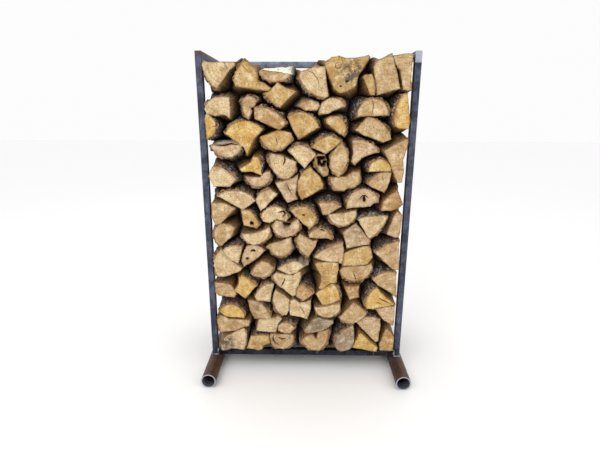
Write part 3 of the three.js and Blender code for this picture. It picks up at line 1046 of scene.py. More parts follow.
@dataclass
class LogStack:
    """All the logs, each a piece with sawn ends, split sides, bark, cracks and hollows."""

    half_width: float
    floor: float
    ceiling: float
    bark_depth: float = 9.5 * MM
    free_swell: float = 3 * MM
    press: float = 2.5 * MM
    ragged_bark: float = 3.4 * MM
    ragged_split: float = 1.0 * MM
    grid: float = 3.3 * MM
    rim_width: float = 5.5 * MM
    crumb_reach: float = 52 * MM
    rings_near_end: tuple[float, ...] = (0.0, 1.2, 3.2, 6, 10, 15, 21, 27, 34, 41, 49, 57, 66, 76,
                                         87, 100, 114, 130, 147)
    ring_gap: float = 19 * MM
    lean_from: float = 3 * MM
    lean_by: float = 105 * MM
    lean_by_on_floor: float = 48 * MM
    near_floor: float = 10 * MM
    # Painted shade on the covered sides grows in over this span from each end.
    shade_from: float = 5 * MM
    shade_by: float = 78 * MM
    saw_tilt: float = 0.05
    tilt_fade: float = 80 * MM
    furrow_depth: float = 6.5 * MM
    torn_depth: float = 0.8 * MM
    wave_depth: float = 1.8 * MM
    side_ease: float = 22 * MM
    first_seed: int = 4100
    tries: int = 6
    bark_patches: dict[End, list] = field(default_factory=lambda: {end: [] for end in End})

    def depths(self, length: float) -> np.ndarray:
        """Places the rings along a log, close together near its ends.

        Args:
            length: Length of the log.

        Returns:
            Distance of each ring from the front end.
        """
        end = np.array(self.rings_near_end) * MM
        count = max(2, round((length - 2 * end[-1]) / self.ring_gap))
        middle = np.linspace(end[-1], length - end[-1], count + 1)[1:-1]
        return np.concatenate([end, middle, length - end[::-1]])

    def build(self) -> list[bpy.types.Object]:
        """Builds every log and reports it.

        Returns:
            The finished logs.
        """
        logs = NodeReader().logs()
        space = RoomMap(logs, self.half_width, self.floor, self.ceiling)
        finishes = [EndGrain().material(), LogSide().material()]
        tones = {name: tone for tone, names in TONE_OF_LOGS.items() for name in names.split()}
        by_node: dict[str, list] = {}
        made = []
        for number, log in enumerate(logs):
            piece = self.build_log(log, number, space, finishes, tones[log.name])
            by_node.setdefault(log.node, []).append(piece)
            made.append(piece)
        for node, pieces in by_node.items():
            for piece in pieces:
                settle(piece, [node])
            LOG.info("%s: %d logs", node, len(pieces))
        return made

    def bark_of(self, log: LogShape, number: int, space: RoomMap) -> np.ndarray:
        """Works out how thick the bark is at each point of a log's outline.

        Args:
            log: The log.
            number: Its place in the list.
            space: Room between the logs.

        Returns:
            The bark's thickness.
        """
        room = space.room(number)
        room = around(np.minimum(room, np.roll(room, 1)), 2)
        uneven = value_noise(in_space(log.ring), (16 * MM,) * 3, number + 60)
        return around(log.bark * np.minimum(room, self.bark_depth) * (0.75 + 0.45 * uneven), 2)

    def ragged(self, log: LogShape, number: int) -> np.ndarray:
        """Says how far the edge of a sawn end stands out or in at each point.

        Args:
            log: The log.
            number: Picks the pattern.

        Returns:
            The distance outwards.
        """
        flat = in_space(log.ring)
        coarse = value_noise(flat, (9 * MM,) * 3, number + 200)
        fine = value_noise(flat, (4.4 * MM,) * 3, number + 250)
        bark = self.sharp(log.bark)
        return bark * self.ragged_bark * (coarse + 0.5 * fine) + (1 - bark) * self.ragged_split * (
            fine + coarse - 0.3)

    def middle_outline(self, log: LogShape, number: int, space: RoomMap,
                       outer: np.ndarray) -> tuple[np.ndarray, np.ndarray]:
        """Works out a log's outline between its ends, where it leans on its neighbours.

        Args:
            log: The log.
            number: Its place in the list.
            space: Room between the logs.
            outer: Its outline at the ends.

        Returns:
            The outline, and how far a neighbour covers each point, 0 to 1.
        """
        spots, met = space.grown(number, log.ring)
        covered = np.clip(around(met, 4), 0, 1)[:, None]
        loose = outer + log.outward * self.free_swell
        pressed = spots + outward_of(spots, 1)[1] * self.press
        return loose + (pressed - loose) * covered, covered[:, 0]

    def build_log(self, log: LogShape, number: int, space: RoomMap, finishes: list,
                  tone: Tone) -> bpy.types.Object:
        """Builds one log.

        Args:
            log: Where the log is.
            number: Its place in the list, which also picks its random shapes.
            space: Room between the logs.
            finishes: Materials of the sawn end and of the side.
            tone: Colour of the sawn ends.

        Returns:
            The log's mesh object.
        """
        dice = np.random.default_rng(self.first_seed + number)
        outer, ends = self.both_ends(log, number, space, dice)
        tilts = dice.uniform(-self.saw_tilt, self.saw_tilt, 4).reshape(2, 2)
        rings, painted_gap_shade = self.side_rings(log, number, space, outer, tilts)
        rows, count = rings.shape[:2]
        side = rings.reshape(-1, 3)
        points, faces = [side], self.side_faces(rows, count)
        slots = [1] * len(faces)
        values = {"bark": [np.tile(self.sharp(log.bark), rows)], "rim": [np.ones(len(side))],
                  "painted_gap_shade": [painted_gap_shade.ravel()], "crack": [np.zeros(len(side))]}
        total = len(side)
        for end, (flat, triangles, marks), tilt in zip(End, ends, tilts):
            inner = self.end_places(log, number, end, flat[count:], marks["dent"][count:], tilt)
            first = 0 if end is End.FRONT else len(side) - count
            numbering = np.concatenate([first + np.arange(count), total + np.arange(len(inner))])
            turned = numbering[triangles]
            faces += (turned if end is End.FRONT else turned[:, ::-1]).tolist()
            slots += [0] * len(turned)
            points.append(inner)
            total += len(inner)
            for key in values:
                values[key].append(marks[key][count:])
        every = np.concatenate(points)
        every[:, 0] = np.clip(every[:, 0], -self.half_width, self.half_width)
        every[:, 2] = np.clip(every[:, 2], self.floor, self.ceiling)
        piece = make_piece(f"log_{log.name.lower()}", every.tolist(), faces, finishes)
        self.dress(piece, log, tone, slots, {key: np.concatenate(runs) for key, runs in values.items()})
        return piece

    def both_ends(self, log: LogShape, number: int, space: RoomMap,
                  dice: np.random.Generator) -> tuple[np.ndarray, list]:
        """Fills both sawn ends, with less bark where the outline would cross itself.

        Args:
            log: The log.
            number: Its place in the list.
            space: Room between the logs.
            dice: Random numbers of this log.

        Returns:
            The outline of the ends, and the mesh of the front end and of the back end.
        """
        bark = self.bark_of(log, number, space)
        ragged = self.ragged(log, number)
        for _ in range(self.tries):
            outer = log.ring + log.outward * (bark + ragged)[:, None]
            front = self.sawn_end(log, outer, dice, End.FRONT)
            if front is not None:
                break
            bark, ragged = bark * 0.6, ragged * 0.5
        return outer, [front, self.sawn_end(log, outer, dice, End.BACK)]

    def side_rings(self, log: LogShape, number: int, space: RoomMap, outer: np.ndarray,
                   tilts: np.ndarray) -> tuple[np.ndarray, np.ndarray]:
        """Places rings of points along a log.

        Args:
            log: The log.
            number: Its place in the list.
            space: Room between the logs.
            outer: Outline of its ends.
            tilts: Slope of the front end and of the back end along x and z.

        Returns:
            The rings of points, and the painted shade at each point where a neighbour covers it, 0 to 1.
        """
        middle_ring, covered = self.middle_outline(log, number, space, outer)
        middle = log.corners.mean(axis=0)
        depth = self.depths(log.back - log.front)
        from_back = depth[-1] - depth
        from_end = np.minimum(depth, from_back)
        on_floor = middle_ring[:, 1] < self.floor + self.near_floor
        lean_by = np.where(on_floor, self.lean_by_on_floor, self.lean_by)
        grow = smooth_step(from_end[:, None], self.lean_from, lean_by[None])[..., None]
        flat = outer[None] + (middle_ring - outer)[None] * grow
        self.lift(log, flat, depth)
        slope = (flat - middle) @ tilts[0] * (1 - smooth_step(depth, 0, self.tilt_fade))[:, None]
        slope += (flat - middle) @ tilts[1] * (1 - smooth_step(from_back, 0, self.tilt_fade))[:, None]
        along = log.front + depth[:, None] + slope
        places = np.stack([flat[..., 0], along, flat[..., 1]], axis=-1)
        rings = self.roughen(log, places, from_end, number)
        self.pull_in(rings, log)
        self.note_bark(log, rings, depth)
        # The second value is painted shade where a neighbour covers the side, fading in from each end.
        return rings, covered[None] * smooth_step(from_end, self.shade_from, self.shade_by)[:, None]

    def side_faces(self, rows: int, count: int) -> list[list[int]]:
        """Joins rings of points into the faces of a log's side.

        Args:
            rows: How many rings there are.
            count: How many points each has.

        Returns:
            The corner numbers of each face.
        """
        corner = np.arange(count)
        after = np.roll(corner, -1)
        faces = []
        for row in range(rows - 1):
            low, high = row * count, (row + 1) * count
            faces += np.stack([low + corner, high + corner, high + after, low + after], 1).tolist()
        return faces

    def end_places(self, log: LogShape, number: int, end: End, inner: np.ndarray, dent: np.ndarray,
                   tilt: np.ndarray) -> np.ndarray:
        """Gives the inner points of a sawn end their depth and a fine relief.

        Args:
            log: The log.
            number: Picks the relief.
            end: Which end.
            inner: The points in the x-z plane.
            dent: How deep each lies in a crack or hollow.
            tilt: Slope of the end along x and z.

        Returns:
            The points in space.
        """
        is_front = end is End.FRONT
        bend = (inner - log.corners.mean(axis=0)) @ tilt
        depth = (log.front if is_front else log.back) + bend + (1.0 if is_front else -1.0) * dent
        places = np.stack([inner[:, 0], depth, inner[:, 1]], axis=1)
        relief = 0.5 * MM * value_noise(places, (7 * MM,) * 3, number + 7)
        relief += 0.35 * MM * value_noise(places, (3.5 * MM, 1, 30 * MM), number + 9)
        places[:, 1] += relief
        return places

    def lift(self, log: LogShape, flat: np.ndarray, depth: np.ndarray) -> None:
        """Raises the split top of a log that slopes up behind its front end.

        Args:
            log: The log.
            flat: Its outline at each ring, which is changed.
            depth: Distance of each ring from the front end.
        """
        rise = RISING_TOPS.get(log.name, 0.0) * MM
        low, high = log.ring.min(axis=0), log.ring.max(axis=0)
        top = smooth_step(around(log.outward[:, 1], 6), 0.1, 0.6)
        to_right = smooth_step(log.ring[:, 0], low[0], low[0] + 0.5 * (high - low)[0])
        flat[..., 1] += rise * (top * to_right)[None] * smooth_step(depth, 2 * MM, 60 * MM)[:, None]
        if rise:
            share = np.clip((flat[..., 0] - low[0]) / (high - low)[0], 0, 1)
            flat[..., 1] = np.minimum(flat[..., 1], high[1] + rise * share * 0.8)

    def note_bark(self, log: LogShape, shaped: np.ndarray, depth: np.ndarray) -> None:
        """Keeps the bark near both ends of a log, for the loose flakes.

        Args:
            log: The log.
            shaped: Rings of points along it.
            depth: Distance of each ring from the front end.
        """
        following = np.roll(shaped, -1, axis=1)
        is_bark = (log.bark > 0.75) & (np.roll(log.bark, -1) > 0.75)
        for end, near in ((End.FRONT, depth[1:] < self.crumb_reach),
                          (End.BACK, depth[:-1] > depth[-1] - self.crumb_reach)):
            low, high = shaped[:-1][near][:, is_bark], shaped[1:][near][:, is_bark]
            low_after = following[:-1][near][:, is_bark]
            high_after = following[1:][near][:, is_bark]
            quads = np.stack([low, high, high_after, low_after], axis=2).reshape(-1, 4, 3)
            self.bark_patches[end].append(quads)

    def build_crumbs(self) -> None:
        """Strews loose flakes over the bark at both ends of the stack."""
        for end, patches in self.bark_patches.items():
            corners = np.concatenate(patches).reshape(-1, 3)
            quads = np.arange(len(corners)).reshape(-1, 4)
            patch = make_piece(f"bark_{end.value}", corners.tolist(), quads.tolist(), [])
            piece = BarkCrumbs(f"bark_flakes_{end.value}", patch).build()
            settle(piece)
            LOG.info("%s: %d faces", piece.name, len(piece.data.polygons))

    def sharp(self, bark: np.ndarray) -> np.ndarray:
        """Bark share of the outline with clear ends."""
        return smooth_step(bark, 0.2, 0.8)

    def roughen(self, log: LogShape, places: np.ndarray, from_end: np.ndarray,
                number: int) -> np.ndarray:
        """Gives the long side its bark furrows and torn fibres.

        Args:
            log: The log.
            places: Rings of points along the log.
            from_end: Distance of each ring from the nearer end.
            number: Picks the pattern.

        Returns:
            The moved points.
        """
        flat = places.reshape(-1, 3)
        shape = places.shape[:2]
        furrow = value_noise(flat, (8 * MM, 26 * MM, 8 * MM), number)
        furrow += 0.5 * value_noise(flat, (4.5 * MM, 11 * MM, 4.5 * MM), number + 500)
        fibre = value_noise(flat, (4 * MM, 90 * MM, 4 * MM), number + 900)
        wave = value_noise(flat, (38 * MM, 70 * MM, 38 * MM), number + 300)
        furrow, fibre, wave = (run.reshape(shape) for run in (furrow, fibre, wave))
        bark = self.sharp(log.bark)[None]
        ridge = (0.3 - np.abs(furrow)) * self.furrow_depth
        torn = fibre * self.torn_depth + wave * self.wave_depth
        ease = smooth_step(from_end, 0, self.side_ease)[:, None]
        move = (bark * ridge + (1 - bark) * torn) * ease
        moved = places.copy()
        moved[..., 0] += log.outward[None, :, 0] * move
        moved[..., 2] += log.outward[None, :, 1] * move
        return moved

    def pull_in(self, places: np.ndarray, log: LogShape) -> None:
        """Breaks the bark back a little from both sawn ends.

        Args:
            places: Rings of points along the log, which are changed.
            log: The log.
        """
        bark = self.sharp(log.bark)
        chip = value_noise(places[0], (9 * MM, 1, 9 * MM), 77) * 1.5 * MM + 1.6 * MM
        for row in range(3):
            fade = 1 - row / 3
            places[row, :, 1] += bark * chip * fade
            places[-1 - row, :, 1] -= bark * chip * fade

    def sawn_end(self, log: LogShape, outer: np.ndarray, dice: np.random.Generator,
                 end: End) -> Optional[tuple]:
        """Fills the outline of an end with an even mesh that follows its cracks.

        Args:
            log: The log.
            outer: Outline with the bark, which the mesh keeps as its border.
            dice: Random numbers of this log.
            end: Which end, as only the front has the named cracks and hollows.

        Returns:
            Points, triangles and marks, or None where the outline crosses itself.
        """
        points = self.even_points(outer, dice)
        every, dent, dark = [outer], [np.zeros(len(outer))], [np.zeros(len(outer))]
        lines = []
        for crack in self.cracks_of(log, dice, end):
            line, normal = self.crack_line(crack)
            half = crack.width * MM / 2
            taper = np.sin(np.linspace(0.25, math.pi - 0.25, len(line)))[:, None]
            deep = crack.depth * MM * taper[:, 0]
            # Each crack line carries painted shade, full on its middle and about half on its edges.
            lines += [(line, 1.0, deep), (line + normal * half * taper, 0.55, 0.35 * deep),
                      (line - normal * half * taper, 0.55, 0.35 * deep)]
            points = points[distance_to(points, line, False) > half + 0.9 * MM]
        for run, shade, depth in [(points, 0.0, np.zeros(len(points)))] + lines:
            keep = inside(run, outer) & (distance_to(run, outer) > 0.8 * MM)
            every.append(run[keep])
            dent.append(depth[keep])
            dark.append(np.full(int(keep.sum()), shade))
        flat, dents, painted_recess_shade = (np.concatenate(runs) for runs in (every, dent, dark))
        if end is End.FRONT:
            self.hollow_out(log, flat, dents, painted_recess_shade, len(outer))
        triangles = self.triangulated(flat, len(outer))
        if triangles is None:
            return None
        wood = distance_to(flat, log.ring)
        outside = ~inside(flat, log.ring)
        has_bark = distance_to(flat, outer) < wood + 6 * MM
        bark = np.where(outside & (wood > 0.9 * MM) & has_bark, 1.0, 0.0)
        bark[:len(outer)] = self.sharp(log.bark)
        rim = 1 - smooth_step(np.where(outside, 0, wood), 0, self.rim_width)
        # The crack mark carries the painted shade of cracks and hollows.
        return flat, triangles, {"dent": dents + bark * 1.2 * MM, "crack": painted_recess_shade, "bark": bark,
                                 "rim": rim, "painted_gap_shade": np.zeros(len(flat))}

    def even_points(self, outer: np.ndarray, dice: np.random.Generator) -> np.ndarray:
        """Strews points evenly inside an outline.

        Args:
            outer: The outline.
            dice: Random numbers of this log.

        Returns:
            The points that keep clear of the outline.
        """
        spans = [np.arange(low, high, self.grid) for low, high in zip(outer.min(axis=0), outer.max(axis=0))]
        grid_x, grid_z = np.meshgrid(*spans, indexing="ij")
        grid_x = grid_x + (np.arange(grid_x.shape[1]) % 2)[None] * self.grid / 2
        points = np.stack([grid_x.ravel(), grid_z.ravel()], axis=1)
        points += dice.uniform(-0.5, 0.5, points.shape) * MM
        points = points[inside(points, outer)]
        return points[distance_to(points, outer) > 0.55 * self.grid]

    def hollow_out(self, log: LogShape, flat: np.ndarray, dents: np.ndarray, painted_recess_shade: np.ndarray,
                   border: int) -> None:
        """Sinks the points that lie in a log's hollows and darkens them as painted shade.

        Args:
            log: The log.
            flat: The points of its front end.
            dents: Depth of each point, which is changed.
            painted_recess_shade: Darkness of each point, which is changed.
            border: How many of the first points are the outline, which stays.
        """
        for hollow in HOLLOWS.get(log.name, []):
            offset = flat - np.array([hollow.x, hollow.z]) * MM
            offset /= np.array([hollow.half_width, hollow.half_height]) * MM
            wobble = value_noise(in_space(flat), (6 * MM,) * 3, 5) * 0.25
            share = 1 - smooth_step(np.hypot(offset[:, 0], offset[:, 1]) + wobble, 0.75, 1.1)
            share[:border] = 0
            np.maximum(dents, share * hollow.depth * MM, out=dents)
            np.maximum(painted_recess_shade, share, out=painted_recess_shade)

    def triangulated(self, flat: np.ndarray, border: int) -> Optional[np.ndarray]:
        """Joins the points of an end into triangles that run anticlockwise.

        Args:
            flat: The points, with the outline first.
            border: How many points the outline has.

        Returns:
            The triangles, or None where the outline crosses itself.
        """
        ring = [(number, (number + 1) % border) for number in range(border)]
        made = delaunay_2d_cdt([Vector(point) for point in flat.tolist()], ring, [], 1, 1e-7)
        places, triangles, sources = made[0], made[2], made[3]
        if len(places) != len(flat) or any(len(source) != 1 for source in sources):
            return None
        back_to = np.array([source[0] for source in sources])
        turned = back_to[np.array([list(face) for face in triangles])]
        first = flat[turned[0]]
        clockwise = np.cross(first[1] - first[0], first[2] - first[0]) < 0
        return turned[:, ::-1] if clockwise else turned

    def cracks_of(self, log: LogShape, dice: np.random.Generator, end: End) -> list[Crack]:
        """Named cracks of the front and a few thin drying checks that run from the pith.

        Args:
            log: The log.
            dice: Random numbers of this log.
            end: Which end, as the named cracks are on the front.

        Returns:
            The cracks.
        """
        found = list(CRACKS.get(log.name, [])) if end is End.FRONT else []
        middle = log.corners.mean(axis=0)
        size = float(np.hypot(*(log.corners - middle).T).mean())
        for _ in range(int(dice.integers(0, 2))):
            start = middle + dice.uniform(-0.55, 0.55, 2) * size
            away = start - log.pith
            away /= max(float(np.hypot(*away)), TINY)
            side = np.array([-away[1], away[0]])
            reach = dice.uniform(0.25, 0.6) * size
            bends = dice.uniform(-0.03, 0.03, 4) * size
            line = [start + away * reach * part + side * bend
                    for part, bend in zip((0, 0.33, 0.66, 1), bends)]
            crack = Crack(tuple((point[0] / MM, point[1] / MM) for point in line),
                          dice.uniform(0.4, 0.9), dice.uniform(2, 4))
            gaps = [distance_to(np.array(line), np.array(other.points) * MM, False).min()
                    for other in found]
            if min(gaps, default=1.0) > 6 * MM:
                found.append(crack)
        return found

    def crack_line(self, crack: Crack) -> tuple[np.ndarray, np.ndarray]:
        """Cuts a crack into short steps, with a small wander.

        Args:
            crack: The crack.

        Returns:
            Points along it and the direction across it at each.
        """
        corners = np.array(crack.points) * MM
        sizes = np.hypot(*(corners[1:] - corners[:-1]).T)
        total = np.concatenate([[0], np.cumsum(sizes)])
        spots = np.linspace(0, total[-1], max(5, int(total[-1] / (2.4 * MM))))
        line = np.stack([np.interp(spots, total, corners[:, axis]) for axis in (0, 1)], axis=1)
        line[1:-1] = (line[:-2] + 2 * line[1:-1] + line[2:]) / 4
        run = np.gradient(line, axis=0)
        run /= np.maximum(np.hypot(run[:, 0], run[:, 1]), TINY)[:, None]
        normal = np.stack([-run[:, 1], run[:, 0]], axis=1)
        wander = value_noise(in_space(line), (5 * MM,) * 3, 31) * 0.8 * MM
        return line + normal * wander[:, None], normal

    def dress(self, piece: bpy.types.Object, log: LogShape, tone: Tone, slots: list[int],
              values: dict[str, np.ndarray]) -> None:
        """Writes what the finishes read onto a log's mesh.

        Args:
            piece: The log.
            log: Where it is.
            tone: Colour of its sawn ends.
            slots: Material number of each face.
            values: Marks of each corner.
        """
        mesh = piece.data
        mesh.polygons.foreach_set("material_index", slots)
        mesh.polygons.foreach_set("use_smooth", [True] * len(mesh.polygons))
        mesh.set_sharp_from_angle(angle=math.radians(38))
        count = len(mesh.vertices)
        values = dict(values)
        values["lichen"] = np.full(count, 1.0 if log.name in LICHEN_LOGS.split() else 0.22)
        places = np.zeros(count * 3)
        mesh.vertices.foreach_get("co", places)
        x, z, radius, strength = STAINED.get(log.name, (0, 0, 1, 0.0))
        away = np.hypot(places[0::3] - x * MM, places[2::3] - z * MM) / (radius * MM)
        values["stain"] = 0.08 + strength * np.exp(-away ** 2)
        # Painted highlight that whitens the split faces of the listed logs.
        values["painted_top_highlight"] = np.full(count, PAINTED_TOP_HIGHLIGHT.get(log.name, 0.0))
        for key, run in values.items():
            mesh.attributes.new(key, "FLOAT", "POINT").data.foreach_set("value", run.astype(np.float32))
        pith = np.tile([log.pith[0], 0.0, log.pith[1]], count).astype(np.float32)
        mesh.attributes.new("pith", "FLOAT_VECTOR", "POINT").data.foreach_set("vector", pith)
        shade = np.tile([*tone.value, 1.0], count).astype(np.float32)
        mesh.attributes.new("tone", "FLOAT_COLOR", "POINT").data.foreach_set("color", shade)


# ---- Finishes of the steel ----

@dataclass(frozen=True)
class MillScale:
    """Blue-grey mill scale with scratches, rust, heat tint by the welds, ground spots and a painted sheen
    inside the pipe ends.
    """

    name: str
    base: tuple[float, float, float]
    light: tuple[float, float, float]

    def material(self) -> bpy.types.Material:
        """Builds the material.

        Returns:
            The finished material.
        """
        sketch = Sketch(self.name)
        place = sketch.place()
        cloud = sketch.noise(place, 24, 5, 0.65)
        fine = sketch.noise(place, 260, 3, 0.6)
        scuff = sketch.noise(sketch.scaled(place, (90, 90, 14)), 1.0, 4, 0.7)
        colour = sketch.blend(sketch.ramp(cloud, 0.36, 0.66), self.base, self.light)
        colour = sketch.cover(sketch.ramp(scuff, 0.56, 0.72), 0.5, colour, srgb(138, 142, 158))
        colour = sketch.cover(sketch.ramp(fine, 0.55, 0.7), 0.5, colour, srgb(34, 34, 40))
        heat = sketch.attribute("heat")
        colour = sketch.blend(sketch.ramp(heat, 0.15, 0.5), colour, srgb(104, 74, 50))
        colour = sketch.blend(sketch.ramp(heat, 0.5, 0.85), colour, srgb(46, 44, 60))
        spots = sketch.noise(place, 75, 5, 0.7)
        loose = sketch.math("MULTIPLY", sketch.ramp(spots, 0.62, 0.72), 0.55)
        rusted = sketch.math("MULTIPLY", sketch.ramp(spots, 0.3, 0.5), sketch.attribute("rust"))
        rust = sketch.math("MAXIMUM", loose, rusted)
        rust_colour = sketch.blend(sketch.ramp(fine, 0.4, 0.6), srgb(74, 46, 32), srgb(116, 74, 44))
        colour = sketch.blend(rust, colour, rust_colour)
        edge = sketch.ramp(sketch.noise(place, 60, 2), 0.1, 0.4)
        ground_and_sheen = sketch.ramp(sketch.attribute("ground_and_sheen"), 0.3, 0.7)
        # Ground bright metal, and a painted sheen inside the foot pipes.
        colour = sketch.cover(ground_and_sheen, edge, colour, srgb(176, 182, 196))
        rough = sketch.math("ADD", 0.36, sketch.math("MULTIPLY", cloud, 0.2))
        rough = sketch.math("ADD", rough, sketch.math("MULTIPLY", rust, 0.35), True)
        metal = sketch.math("SUBTRACT", 0.85, sketch.math("MULTIPLY", rust, 0.8), True)
        sketch.bump(sketch.math("ADD", fine, sketch.math("MULTIPLY", spots, rust)), 0.25, 0.4 * MM)
        return sketch.finish(colour, rough, metal)


@dataclass(frozen=True)
class WeldMetal:
    """Ripples of weld metal, dark with pale blue-white patches that are painted glints."""

    def material(self) -> bpy.types.Material:
        """Builds the material.

        Returns:
            The finished material.
        """
        sketch = Sketch("weld_metal")
        place = sketch.place()
        cloud = sketch.noise(place, 190, 3)
        # Painted highlight: noise patches of pale blue-white stand in for glints on the dark bead.
        colour = sketch.blend(sketch.ramp(cloud, 0.45, 0.55), srgb(186, 197, 216), srgb(80, 74, 74))
        sketch.bump(sketch.noise(place, 900, 2), 0.2, 0.3 * MM)
        return sketch.finish(colour, 0.3, 1.0)


# ---- Rack ----

@dataclass
class SteelRack:
    """The welded rack: square tubes, round foot pipes and weld beads."""

    tube: float = 25.4 * MM
    wall: float = 2.0 * MM
    corner: float = 3.2 * MM
    pipe_wall: float = 3.9 * MM
    pipe_sides: int = 72
    ring_gap: float = 9 * MM
    edge_break: float = 0.4 * MM
    pipe_break: float = 0.7 * MM
    heat_core: float = 4 * MM
    heat_reach: float = 46 * MM

    def __post_init__(self) -> None:
        """Finds where the tubes meet."""
        self.front_post = [Vector(corner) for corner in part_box("post_front_left")]
        self.back_post = [Vector(corner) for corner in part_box("post_back_left")]
        self.rail = [Vector(corner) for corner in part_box("bottom_rail_front")]
        self.inner_x = -self.front_post[1].x
        self.outer_x = -self.front_post[0].x
        self.foot_z = self.front_post[0].z
        self.front_y = self.front_post[0].y
        self.top_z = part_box("top_rail_left")[1].z

    def build(self) -> list[bpy.types.Object]:
        """Builds every tube, pipe and bead, and reports them.

        Returns:
            The finished pieces.
        """
        tube_finish = MillScale("mill_scale", srgb(56, 59, 72), srgb(92, 96, 114)).material()
        # Painted light: a paler copy of the same mill scale, for the back top rail.
        painted_light_finish = MillScale("painted_light_scale", srgb(92, 97, 114), srgb(136, 142, 160)).material()
        # Painted shade: a darker copy of the same mill scale, for the bottom rails under the logs.
        painted_shade_finish = MillScale("painted_shade_scale", srgb(26, 27, 34), srgb(50, 52, 64)).material()
        pipe_finish = MillScale("rusty_scale", srgb(66, 52, 45), srgb(100, 82, 70)).material()
        made = []
        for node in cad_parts:
            if node.startswith("log"):
                continue
            if node.startswith("foot_pipe"):
                piece = self.build_pipe(node, pipe_finish)
            else:
                # The bottom rails take the darker copy, painted shade.
                dark = node.startswith("bottom")
                # The back top rail takes the paler copy, painted light.
                finish = painted_light_finish if node == "top_rail_back" else tube_finish
                piece = self.build_tube(node, painted_shade_finish if dark else finish)
            made.append(settle(piece, [node]))
            LOG.info("%s built", node)
        made.append(settle(WeldBeads(self).build()))
        LOG.info("weld beads built")
        return made

    def rounded_square(self, size: float, radius: float) -> np.ndarray:
        """Draws a square section with round corners.

        Args:
            size: Width of the square.
            radius: Radius of its corners.

        Returns:
            Its points, anticlockwise.
        """
        turns = np.linspace(0, math.pi / 2, 6)
        points = []
        for quarter, (side_a, side_b) in enumerate(((1, 1), (-1, 1), (-1, -1), (1, -1))):
            centre = np.array([side_a, side_b]) * (size / 2 - radius)
            angles = turns + quarter * math.pi / 2
            points.append(centre + radius * np.stack([np.cos(angles), np.sin(angles)], axis=1))
        return np.concatenate(points)

    def build_tube(self, node: str, finish: bpy.types.Material) -> bpy.types.Object:
        """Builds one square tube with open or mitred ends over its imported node.

        Args:
            node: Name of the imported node.
            finish: Its material.

        Returns:
            The tube's mesh object.
        """
        low, high = (np.array(corner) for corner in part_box(node))
        axis = int(np.argmax(high - low))
        cross = [(axis + 1) % 3, (axis + 2) % 3]
        centre = (low + high) / 2
        inset = self.edge_break
        outer = self.rounded_square(self.tube, self.corner)
        broken = self.rounded_square(self.tube - 2 * inset, self.corner - inset)
        inner = self.rounded_square(self.tube - 2 * self.wall, self.corner - self.wall)
        count = max(3, round((high - low)[axis] / self.ring_gap))
        rings = [(broken, 0.0, 0.0), (outer, 0.0, inset)]
        rings += [(outer, part, 0.0) for part in np.linspace(0, 1, count)[1:-1]]
        rings += [(outer, 1.0, -inset), (broken, 1.0, 0.0)]
        rings += [(inner, part, 0.0) for part in np.linspace(1, 0, 12)]
        points = []
        for section, part, shift in rings:
            place = np.tile(centre, (len(section), 1))
            place[:, cross] += section
            start, end = self.ends(node, axis, low, high, place)
            place[:, axis] = start + (end - start) * part + shift
            points.append(place)
        return self.loft(node, points, finish)

    def ends(self, node: str, axis: int, low: np.ndarray, high: np.ndarray,
             place: np.ndarray) -> tuple[np.ndarray, np.ndarray]:
        """Says where each line of a tube starts and ends, with the mitres at the top corners.

        Args:
            node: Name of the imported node.
            axis: Number of the axis that the tube follows.
            low: Low corner of its box.
            high: High corner of its box.
            place: A point on each line.

        Returns:
            The start and the end of each line along the axis.
        """
        start = np.full(len(place), low[axis])
        end = np.full(len(place), high[axis])
        if node.startswith("post_front"):
            end = end - (place[:, 1] - low[1])
        elif node.startswith("post_back"):
            end = end - (high[1] - place[:, 1])
        elif axis == 1:
            start = start + (high[2] - place[:, 2])
            end = end - (high[2] - place[:, 2])
        return start, end

    def build_pipe(self, node: str, finish: bpy.types.Material) -> bpy.types.Object:
        """Builds one round foot pipe with cut, open ends.

        Args:
            node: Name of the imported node.
            finish: Its material.

        Returns:
            The pipe's mesh object.
        """
        low, high = (np.array(corner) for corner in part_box(node))
        centre = (low + high) / 2
        radius = (high - low)[2] / 2
        inset = self.pipe_break
        angles = np.linspace(0, math.tau, self.pipe_sides, endpoint=False)
        circle = np.stack([np.cos(angles), np.sin(angles)], axis=1)
        runs = [(radius - inset, low[1]), (radius, low[1] + inset)]
        runs += [(radius, y) for y in np.linspace(low[1], high[1], 60)[1:-1]]
        runs += [(radius, high[1] - inset), (radius - inset, high[1])]
        runs += [(radius - self.pipe_wall, y) for y in np.linspace(high[1], low[1], 40)]
        points = []
        for size, y in runs:
            place = np.tile(centre, (len(circle), 1))
            place[:, 1] = y
            place[:, 0] += circle[:, 0] * size
            place[:, 2] += circle[:, 1] * size
            points.append(place)
        return self.loft(node, points, finish)

    def loft(self, node: str, rings: list, finish: bpy.types.Material) -> bpy.types.Object:
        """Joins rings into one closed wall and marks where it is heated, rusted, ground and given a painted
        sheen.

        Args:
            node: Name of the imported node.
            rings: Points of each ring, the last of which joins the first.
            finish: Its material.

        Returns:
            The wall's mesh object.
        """
        count, rows = len(rings[0]), len(rings)
        corner = np.arange(count)
        after = np.roll(corner, -1)
        faces = []
        for row in range(rows):
            low, high = row * count, (row + 1) % rows * count
            faces += np.stack([low + corner, low + after, high + after, high + corner], 1).tolist()
        points = np.concatenate(rings)
        piece = make_piece(f"steel_{node}", points.tolist(), faces, [finish])
        mesh = piece.data
        if self.volume(points, faces) < 0:
            mesh.flip_normals()
        mesh.polygons.foreach_set("use_smooth", [True] * len(mesh.polygons))
        mesh.set_sharp_from_angle(angle=math.radians(32))
        for key, values in self.marks(node, points).items():
            mesh.attributes.new(key, "FLOAT", "POINT").data.foreach_set("value", values)
        return piece

